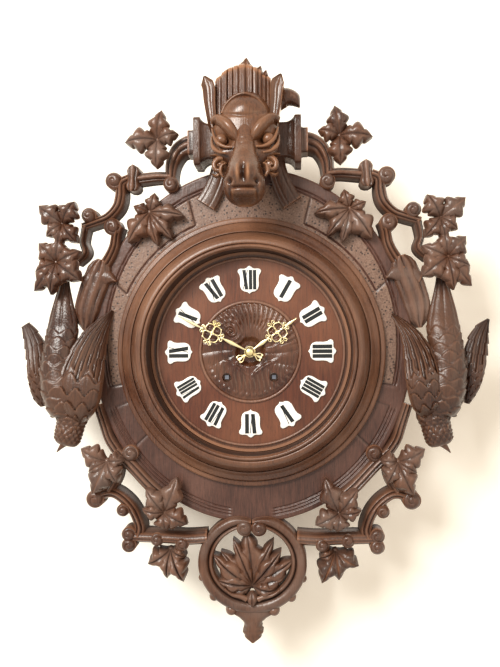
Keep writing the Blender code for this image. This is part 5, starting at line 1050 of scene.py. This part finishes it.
def plumed(stations, side, count=200, around=96):
    """A bird's body: ovals along its spine, cut with rows of feathers, and long ones at the tail."""
    curve = smooth(stations, count)
    path = curve[:, :2] * (side, 1)
    angle = full_turn(around)
    run = np.concatenate([[0], np.cumsum(np.linalg.norm(np.diff(path, axis=0), axis=1))])
    share = (run / run[-1])[:, None]
    girth = angle * BIRD_GIRTH + 0 * share
    along = (run[-1] - run)[:, None] + 0 * girth
    ruffle = shingles(along, girth, *NECK_FEATHER)
    feather = np.where(share > 0.84, 0.8 * ruffle, shingles(along, girth, *BODY_FEATHER))
    quill = np.abs(np.sin(3 * (angle - math.pi / 2) * (1 + 0.4 * share))) ** 0.6
    tail = step(share, 0.36, 0.24)
    cut = (2.3 * feather - 1.1) * (1 - tail) + (1.3 * quill - 0.9) * tail
    cut = cut * step(share, 0.0, 0.03) * step(share, 1.0, 0.97)
    half, deep = curve[:, 3:4] + cut, curve[:, 4:5] + cut
    return closed(swept(path, curve[:, 2], half * np.cos(angle), deep * np.sin(angle)))


def wing_relief(length, half, quills):
    """Relief of a wing: rows of small feathers over its shoulder, then long quills to the tip."""

    def relief(u, v):
        covert = shingles(u * length + 0 * v, v * half + 0 * u, half * 0.66, half * 0.80)
        lap = (quills * (v * (1.15 - 0.35 * u) + 1) / 2 + 0.35 * u) % 1
        quill = lap - 0.30 * groove(lap - 0.45, 0.07)
        mix = step(u + 0.05 * np.cos(7 * v), 0.40, 0.43)
        dome = np.sqrt(np.clip(1 - 0.85 * v**2, 0, 1))
        return np.clip(0.28 + 0.50 * dome + 0.19 * (covert * (1 - mix) + (quill - 0.3) * mix), 0.1, 1.1)

    return relief


def wing(stations, side, quills, ragged):
    """A wing along its bones from the shoulder to the tip; its trailing edge is stepped."""
    curve = smooth(stations, 150)
    run = np.linspace(0, 1, 150)
    length = np.linalg.norm(np.diff(curve[:, :2], axis=0), axis=1).sum()
    steps = 1 - ragged * ((run * 7) % 1) * step(run, 0.45, 0.55)
    relief = wing_relief(length, curve[:, 3].max(), quills)
    path = curve[:, :2] * (side, 1)
    return carved(path, curve[:, 3] * steps, curve[:, 2] - 4, curve[:, 4], relief, 61)


def bird(side):
    """Grids of a bird: body and tail, both wings, tufts at the neck, a beak and an eye."""
    grids = [plumed(BIRD_BODY, side)]
    grids += [wing(NEAR_WINGS[side], side, 6, 0.06), wing(FAR_WINGS[side], side, 4, 0.14)]
    beak = drawn([(204, -98), (209, -103), (214, -109)], side, 20)
    taper = np.linspace(4.5, 0.5, 20)
    grids.append(tube(beak, 107, taper, taper[:, None], 14))
    tuft_half = 4.5 * np.sin(np.linspace(0.5, math.pi - 0.1, 20))
    for number, lean in enumerate((-0.7, -0.3, 0.1, 0.5, 0.9)):
        root = np.array([199 + 9 * lean, -74 - 3 * (number % 2)])
        tuft = drawn(root + np.array([(0, 0), (lean, -6), (5 * lean, -12)]), side, 20)
        grids.append(carved(tuft, tuft_half, 104 + 3 * (number % 2), 11, leaf_relief, 11))
    return grids + [ball((199 * side, -91), 116.5, 2.6), ball((201 * side, -91), 112.0, 4.4, 0.9)]


# Bird walnut: darker and cooler than the leaves, its feathers edged with fine pale lines of wear and
# painted highlight, and painted shade in the valleys between them.
BIRD_TONES = ("#170B07", "#4B2D20", "#805A44")
bird_walnut = wood("bird_walnut_waxed", *BIRD_TONES, 1.3, 0.30, stain_and_shade=(78.0, 95.0), gouge=2.2)
for side, end in ((1, "right"), (-1, "left")):
    made = surface(f"bird_carved_{end}", bird(side), bird_walnut, sharp=65.0)
    stand_for(made, "carved_walnut", f"bird_{end}")

# Crest block: a square walnut spool across the top, with hollowed cheeks that spread to two
# flanges, and a pair of lined straps that run down over the board. The beast's head is glued to it.
SPOOL_LEVEL = 228.0
SPOOL_BACK, SPOOL_FRONT = 78.0, 118.0
SPOOL = (
    (0, 19, 0), (40, 19, 0), (44, 19.6, 0.2), (47, 21, 0.8), (49.5, 23.4, 1.8), (51.2, 26, 3), (57.2, 26, 3),
    (57.8, 25, 2.6), (58.0, 15.0, -4), (60.0, 13.5, -5), (65, 13.5, -5),
)


def spool():
    """Rounded squares along x: half the height and the swell of the front change along the block."""
    half = rounded(SPOOL, 5)
    run = np.vstack([half[:0:-1] * (-1, 1, 1), half])
    angle = full_turn(64)
    square = np.sign([np.cos(angle), np.sin(angle)]) * np.abs([np.cos(angle), np.sin(angle)]) ** 0.22
    middle, deep = (SPOOL_BACK + SPOOL_FRONT) / 2, (SPOOL_FRONT - SPOOL_BACK) / 2
    path = np.column_stack([run[:, 0], np.full(len(run), SPOOL_LEVEL)])
    return closed(swept(path, middle, run[:, 1:2] * square[0], (deep + run[:, 2:3]) * square[1]))


def lined(u, v):
    """Relief of a strap: a low smooth round with a thin cut line along each side."""
    return 0.62 + 0.38 * (1 - v**2 + 1e-9) ** 0.4 - 0.12 * groove(np.abs(v) - 0.42, 0.05) + 0 * u


def strap(side):
    """A strap that leaves the block beside the chin and spreads over the board."""
    path = drawn([(30, 212), (32, 200), (36, 186), (43, 171), (48, 163)], side, 50)
    return carved(path, np.linspace(9, 11.5, 50), BOARD_FRONT + 0.3, 9.0, lined, 33)


crest = surface("crest_block_carved", [spool(), strap(1), strap(-1)], carved_walnut)
stand_for(crest, "carved_walnut", "crest_block")

# Beast's head: a dragon's mask carved in the round from one piece of walnut and waxed until it
# shines. It looks down with heavy brows, and a ribbed mane stands between two tall ears.
HEAD_SEAT = 118.3
SKULL = (
    (0, 190, 140, 16, 14), (0, 198, 141, 27, 20), (0, 208, 141, 33, 22), (0, 222, 140, 35, 22),
    (0, 236, 139, 34, 22), (0, 249, 138, 28, 21), (0, 260, 136, 22, 19), (0, 268, 134, 16, 15),
    (0, 272, 132, 8, 8),
)
MUZZLE = (
    (0, 240, 150, 9, 8), (0, 228, 154, 9.5, 9), (0, 214, 159, 10, 10), (0, 203, 163, 12, 12),
    (0, 193, 167, 15, 16), (0, 184, 170, 18, 20), (0, 176, 171, 20, 21), (0, 168, 169, 21, 19),
    (0, 160, 165, 20, 17), (0, 153, 161, 15, 12), (0, 149, 158, 7, 6),
)
LEAN = -2.6
CROWN_LOW = 238.0
CROWN_TOP = (
    (-32, 286.5), (-31, 289), (-26, 291), (-25.6, 292.5), (-19, 296), (-18.4, 297.5), (-7.2, 299),
    (-6.8, 300), (3, 300.5), (8, 299), (8.6, 297), (13, 296.5), (17, 295), (17.6, 291.5), (22, 290),
    (26.5, 287),
)
CROWN_LOBES = ((-1, 292, 82, 17, 15), (11, 289, 62, 12, 10), (18, 283, 72, 13, 10))
FRONTAL_ARC = ((-24, 247), (-20, 255), (-12, 262), (-1, 265), (10, 262), (18, 255), (22, 247))
FOLDS = (
    ((20, 199), (28, 203), (36, 203)), ((24, 185), (30, 182), (34, 184)), ((19, 194), (24, 197), (33, 199)),
)
SEAMS = np.array([-25.5, -18.5, -12.6, -7.0, 0.6, 8.3, 13.2, 17.4, 22.0])


def swelled(stations, cut, count=110, around=88):
    """Ovals down a line of stations, pushed out by cut(x, z) where they face forward."""
    curve = smooth(stations, count)
    angle = full_turn(around)
    x, ahead = curve[:, 3:4] * np.cos(angle), np.sin(angle) + 0 * curve[:, 3:4]
    push = cut(x, curve[:, 1:2] + 0 * x) * step(ahead, -0.2, 0.5)
    across = -x * (1 + 0.35 * push / (curve[:, 3:4] + 9))
    return closed(swept(curve[:, :2], curve[:, 2], across, curve[:, 4:5] * ahead + push))


def dent(x, z, place, half):
    """A soft round mark on both sides of the face."""
    return np.exp(-(((np.abs(x) - place[0]) / half[0]) ** 2) - ((z - place[1]) / half[1]) ** 2)


def skull_cut(x, z):
    """Deep sockets under the brows, hollow temples, full cheeks and a low crease over the forehead."""
    cut = -9 * dent(x, z, (21, 217), (9, 6)) - 4 * dent(x, z, (33, 250), (7, 10))
    cut = cut + 4 * dent(x, z, (27, 203), (7, 6))
    return cut + 2.5 * dent(x, z, (0, 252), (13, 9)) - 1.0 * groove(z - 241 - 0.01 * x**2, 1.6)


def muzzle_cut(x, z):
    """A nose slit between two ridges, nostrils, a short mouth with a full lip, and jowls beside it."""
    nose = np.exp(-(((z - 178) / 9.0) ** 4))
    short = step(np.abs(x), 14.5, 10.5)
    cut = -5.5 * groove(x, 3.4) * nose + 2.4 * groove(np.abs(x) - 5.0, 2.2) * nose
    cut = cut - 4.0 * dent(x, z, (13.5, 170), (3.0, 2.6)) - 7.0 * dent(x, z, (19.5, 182), (3.6, 5.5))
    cut = cut - 2.8 * groove(z - 164, 1.5) * short + 2.6 * groove(z - 158.5, 4.0) * short
    cut = cut - 1.8 * groove(np.abs(x) - 13.6, 1.4) * np.exp(-(((z - 161) / 12.0) ** 4))
    cut = cut - 1.6 * groove(z - 152.8, 1.6) * short + 2.0 * dent(x, z, (0, 203), (6, 5))
    wrinkle = groove(((z - 196) / 6.5 % 1) - 0.5, 0.22) * step(z, 206, 209) * step(z, 222, 216)
    return cut + 0.9 * wrinkle * groove(x, 9)


def cushion(u, v):
    """A smooth swelling that sinks at both ends."""
    return np.sqrt(np.clip(1 - v**2, 0, 1)) * np.sin(math.pi * np.clip(0.06 + 0.88 * u, 0, 1)) ** 0.7 + 0.02


def hollow(u, v):
    """Relief of an ear: a flat plank with a rim on each edge and a shallow hollow up to the tip."""
    return 0.88 + 0.10 * np.abs(v) ** 3 - 0.03 * groove(np.abs(v) - 0.3, 0.14) + 0.02 * u


def head_side(side):
    """One half of the face: brow, eye, lids, cheek curls and ear."""
    brow = drawn([(35.5, 239), (29, 240.5), (20.5, 235), (12.5, 225.5), (6.5, 215)], side)
    swell = graded(44, [0, 0.2, 0.5, 0.8, 1], [3, 6, 7.4, 6.4, 3])
    grids = [carved(brow, swell, np.linspace(146, 156, 44), 14.5, cushion, 19)]
    grids.append(ball((24.0 * side, 218.5), 152.5, 6.2, 1.0, 28))
    lid = drawn([(34, 231), (31, 220), (26, 213), (19, 209), (12, 208)], side)
    half_way = [0, 0.5, 1]
    grids.append(tube(lid, graded(44, half_way, [149, 158, 164]), graded(44, half_way, [1, 2.2, 1.2]), 2.2))
    lower = drawn([(35, 224), (33, 212), (27, 205), (19, 202)], side)
    grids.append(tube(lower, graded(44, half_way, [145, 156, 163]), graded(44, half_way, [1, 2.4, 1]), 2.6))
    curl = [(23, 200), (28, 198.5), (31.5, 194), (30.5, 188.5), (26.5, 187), (25, 190.5), (28, 192)]
    curl = drawn(curl, side, 60)
    width = np.linspace(3.8, 1.6, 60)
    grids.append(tube(curl, np.linspace(150, 156, 60), width, width[:, None] * 1.6, 14))
    grids.append(ball((25.5 * side, 193), 145, 8.0, 1.1, 24))
    for fold in FOLDS:
        grids.append(tube(drawn(fold, side), 149, graded(44, [0, 0.4, 1], [1, 2.4, 0.8]), 5.0, 12))
    wing = drawn([(21, 177), (23.5, 182), (22.5, 188), (19, 190)], side)
    grids.append(tube(wing, 168, graded(44, half_way, [1.2, 2.2, 1.2]), 3.5, 12))
    ear = drawn([(31.5, 234), (33, 248), (34.5, 262), (35.5, 276), (40, 288)], side) + (LEAN, 0)
    ear_half = graded(44, [0, 0.25, 0.6, 0.85, 1], [4, 5, 6.2, 6.8, 0.8])
    grids.append(carved(ear, ear_half, np.linspace(122, 130, 44), np.linspace(26, 14, 44), hollow, 19))
    return grids


def crown():
    """The mane: upright planks of their own heights, split from each other by sawn seams.

    Each column is a slice from the brow up to the crown's outline, its front rounded towards the
    sides, set a little forward or back from plank to plank, and cut by fine upright lines.
    """
    x = np.linspace(CROWN_TOP[0][0], CROWN_TOP[-1][0], 230)[:, None]
    top = np.interp(x, *np.array(CROWN_TOP).T)
    share = np.linspace(0, 1, 22)[None, :]
    seam = np.abs(x - SEAMS).min(1, keepdims=True)
    plank = np.searchsorted(SEAMS, x)
    front = 150 - 9 * ((x - LEAN) / 30) ** 2 - 6 * share + 1.2 * np.sin(2.3 * plank) + 0.25 * np.sin(3.1 * x)
    front = front - 1.5 * groove(seam, 0.8) - 3.0 * step(share, 0.94, 1.0) ** 2
    z = CROWN_LOW + (top - CROWN_LOW) * share
    back = np.full_like(x, HEAD_SEAT)
    wide, tall = np.hstack([x + 0 * share, x, x]), np.hstack([z, top, 0 * x + CROWN_LOW])
    return closed(np.stack([wide, tall, np.hstack([front, back, back])], -1))


head_grids = [swelled(SKULL, skull_cut), swelled(MUZZLE, muzzle_cut), crown()]
for x, z, heading, length, width in CROWN_LOBES:
    head_grids.append(lobe(np.array([x, z]), heading, length, width, HEAD_SEAT + 4, 15.0, 1, 0.0, 1.0))
arc = smooth(FRONTAL_ARC, 60)
head_grids.append(tube(arc, np.interp(np.abs(arc[:, 0]), [0, 27], [154, 147]), 1.5, 2.4, 14))
head_grids += head_side(1) + head_side(-1)
hook = smooth([(28, 262), (39, 270), (49, 269), (56.5, 260)], 50)
hook_half = graded(50, [0, 0.4, 0.75, 1], [9, 10.5, 7.5, 0.8])
head_grids.append(carved(hook, hook_half, HEAD_SEAT, 14.0, cushion, 23))
head_grids.append(turned([(0, HEAD_SEAT), (17, HEAD_SEAT), (19, 132), (0, 134)], 48, (0, 215)))
# Polished walnut: the glossiest wood, with painted highlight on brow and nose and painted shade that
# makes the folds nearly black.
HEAD_TONES = ("#1E0F0A", "#603B29", "#A27352")
polished_walnut = wood("polished_walnut_head", *HEAD_TONES, 1.5, 0.24, stain_and_shade=(70.0, 84.0))
head = surface("beast_head_carved", head_grids, polished_walnut, sharp=65.0)
stand_for(head, "carved_walnut", "beast_head")

# Pendant: a ring of walnut hung below the board, sawn through and carved. Its two ends curl in at
# the top, a broad vine leaf fills the ring, and a trefoil drop hangs from a scalloped foot.
RING_CENTRE = (0.0, -233.0)
RING_LINE, RING_TALL, RING_HALF = 51.8, 46.8, 8.4
RING_KNOB = 8.6
PENDANT_LEAF = (
    (90, 60, 34), (147, 56, 26), (33, 56, 26), (127, 52, 22), (53, 52, 22), (108, 57, 20), (72, 57, 20),
    (166, 40, 24), (14, 40, 24), (192, 27, 22), (348, 27, 22),
)
DROP_HALVES = (
    (0, 20), (0.1, 24), (0.2, 23), (0.3, 16), (0.42, 11), (0.52, 9.2), (0.64, 10), (0.74, 11), (0.86, 9.6),
    (0.95, 6.8), (1, 3),
)
FOOT_BUMPS = ((58.5, 108, 4.5), (57.5, 132, 5.5), (58.0, 156, 6.5))


def ring_band(u, v):
    """Relief of the ring: a broad round outside and a narrow bead inside, parted by a groove."""
    outer = np.sqrt(np.clip(1 - ((v + 0.30) / 0.72) ** 2, 0, 1))
    inner = np.sqrt(np.clip(1 - ((v - 0.72) / 0.30) ** 2, 0, 1))
    return 0.72 + 0.28 * np.maximum(outer, 0.75 * inner) + 0 * u


def pendant_grids():
    """Ring, curled ends, leaf, bud, bumps along the foot and the drop."""
    angle = np.radians(np.linspace(91, 449, 180))
    ends = graded(180, [0, 0.07, 0.93, 1], [1, 0, 0, 1]) ** 1.5
    oval = np.stack([RING_LINE * np.cos(angle), RING_TALL * np.sin(angle)], -1)
    path = RING_CENTRE + oval * (1 - 0.05 * ends[:, None])
    half = RING_HALF * (1 - 0.12 * np.sin(angle)) * (1 - 0.6 * ends)
    grids = [carved(path, half, FRET_BACK, FRET_FRONT - FRET_BACK, ring_band, 25)]
    top = RING_CENTRE[1] + RING_TALL - 8.5
    for side in (1, -1):
        grids.append(eye((side * (RING_KNOB - 0.6), top), RING_KNOB, side, -1, 0.9))
        for reach, degrees, size in FOOT_BUMPS:
            spot = np.radians(degrees)
            centre = (side * reach * math.sin(spot), RING_CENTRE[1] + reach * math.cos(spot))
            grids.append(ball(centre, FRET_FRONT - 9, size, 1.2, 24))
    heart = (0.0, RING_CENTRE[1] - 27.0)
    grids += leaf(heart, PENDANT_LEAF, 1, FRET_BACK + 4, 15.0, 5.0)
    bud = np.linspace((0.0, heart[1] - 3), (0.0, heart[1] - 19), 36)
    bud_half = 6.5 * np.sin(np.linspace(0.2, math.pi - 0.1, 36))
    grids.append(carved(bud, bud_half, FRET_FRONT - 4, 9.0, leaf_relief, 17))
    for side in (1, -1):
        lip = np.array([(6, -12), (13, -9), (22, -7), (30, -1)]) * (side, 1) + heart
        grids.append(tube(smooth(lip, 40), FRET_FRONT - 1, np.linspace(3.2, 1.2, 40), 3.0, 12))
    low = RING_CENTRE[1] - RING_TALL - 7.0
    drop = [(0, low - down) for down in (-3, 8, 14, 19, 25, 31, 34)]
    beads = np.sin(np.linspace(0, 14 * math.pi, 60)) * step(np.linspace(0, 1, 60), 0.5, 0.6)
    lobed = graded(60, *np.array(DROP_HALVES).T) * (1 + 0.06 * beads)
    grids.append(carved(smooth(drop, 60), lobed, FRET_BACK + 2, 20.0, reeded(1, 0.5), 25))
    return grids


pendant = surface("pendant_carved", pendant_grids(), carved_walnut)
stand_for(pendant, "carved_walnut", "pendant")

# Stage: a plain warm white wall that the clock hangs on, seen only from the front, under soft light
# from a window at the upper left and a weaker lamp on the right. A lamp behind the wall, which lets
# its light pass, shows the back.
WALL_GAP = 0.002
WALL_HALF = 3.0
wall_mesh = bpy.data.meshes.new("wall")
corners = [(-WALL_HALF, WALL_GAP, -WALL_HALF), (WALL_HALF, WALL_GAP, -WALL_HALF)]
corners += [(WALL_HALF, WALL_GAP, WALL_HALF), (-WALL_HALF, WALL_GAP, WALL_HALF)]
wall_mesh.from_pydata(corners, [], [(0, 1, 2, 3)])
wall = bpy.data.objects.new("wall", wall_mesh)
bpy.context.scene.collection.objects.link(wall)
# Wall paint: matt warm white that glows a little, so that it stays as light as in the photograph.
wall_paint, tree, shader = new_material("warm_white_wall")
shader.inputs["Base Color"].default_value = linear("#FDFBF3")
shader.inputs["Roughness"].default_value = 0.9
shader.inputs["Emission Color"].default_value = linear("#FFE6CC")
shader.inputs["Emission Strength"].default_value = 0.16
clear = add_node(tree, "BsdfTransparent")
through = add_node(tree, "NewGeometry").outputs["Backfacing"]
rays = add_node(tree, "LightPath")
for kind in ("Is Shadow Ray", "Is Diffuse Ray"):
    through = add_node(tree, "Math", {0: through, 1: rays.outputs[kind]}, operation="MAXIMUM").outputs[0]
one_sided = add_node(tree, "MixShader", {0: through, 1: shader.outputs[0], 2: clear.outputs[0]})
tree.links.new(one_sided.outputs[0], tree.nodes["Material Output"].inputs["Surface"])
wall_mesh.materials.append(wall_paint)

world_light = bpy.data.worlds.new("studio")
bpy.context.scene.world = world_light
world_light.use_nodes = True
tree = world_light.node_tree
back = tree.nodes["Background"]
back.inputs["Color"].default_value = linear("#FFF5E6")
back.inputs["Strength"].default_value = 0.64
pale = add_node(tree, "Background", {"Color": linear("#FBF8EF"), "Strength": 1.0})
rays = add_node(tree, "LightPath")
seen = rays.outputs["Is Camera Ray"]
for kind in ("Is Glossy Ray", "Is Transmission Ray"):
    seen = add_node(tree, "Math", {0: seen, 1: rays.outputs[kind]}, operation="MAXIMUM").outputs[0]
choice = add_node(tree, "MixShader", {0: seen, 1: back.outputs[0], 2: pale.outputs[0]})
tree.links.new(choice.outputs[0], tree.nodes["World Output"].inputs["Surface"])


def add_lamp(name, place, target, size, watts, colour):
    """A square area lamp that faces a target."""
    data = bpy.data.lights.new(name, "AREA")
    data.size = size
    data.energy = watts
    data.color = linear(colour)[:3]
    lamp = bpy.data.objects.new(name, data)
    lamp.location = place
    lamp.rotation_euler = (Vector(target) - Vector(place)).to_track_quat("-Z", "Y").to_euler()
    bpy.context.scene.collection.objects.link(lamp)


CENTRE = (0.0, -0.1, 0.0)
add_lamp("window", (-0.82, -1.66, 0.95), CENTRE, 0.75, 52.0, "#FFFCF5")
add_lamp("fill", (1.4, -1.6, 0.3), CENTRE, 1.4, 9.5, "#FFE2C2")
add_lamp("rear", (0.7, 1.7, 0.9), CENTRE, 1.4, 26.0, "#FFFDF6")

# Camera: a phone held close in front of the dial, a little to its right. The frame is as tall as the
# photograph, whose pixels are 1.1 mm on the dial.
DIAL_PLANE = 0.096
DISTANCE = 0.80
AZIMUTH = 3.5
ROLL = 0.5
FRAME_TALL = 667 * 0.0011
AIM_RISE = 0.020
camera_data = bpy.data.cameras.new("camera")
camera_data.sensor_fit = "VERTICAL"
camera_data.sensor_height = 24.0
camera_data.lens = 24.0 * DISTANCE / FRAME_TALL
camera = bpy.data.objects.new("camera", camera_data)
aim = Vector((0.0, -DIAL_PLANE, AIM_RISE))
swing = math.radians(AZIMUTH)
camera.location = aim + Vector((math.sin(swing), -math.cos(swing), 0.0)) * DISTANCE
camera.rotation_mode = "XYZ"
camera.rotation_euler = (math.pi / 2, math.radians(ROLL), swing)
bpy.context.scene.collection.objects.link(camera)
bpy.context.scene.camera = camera
bpy.context.scene.view_settings.view_transform = "Standard"
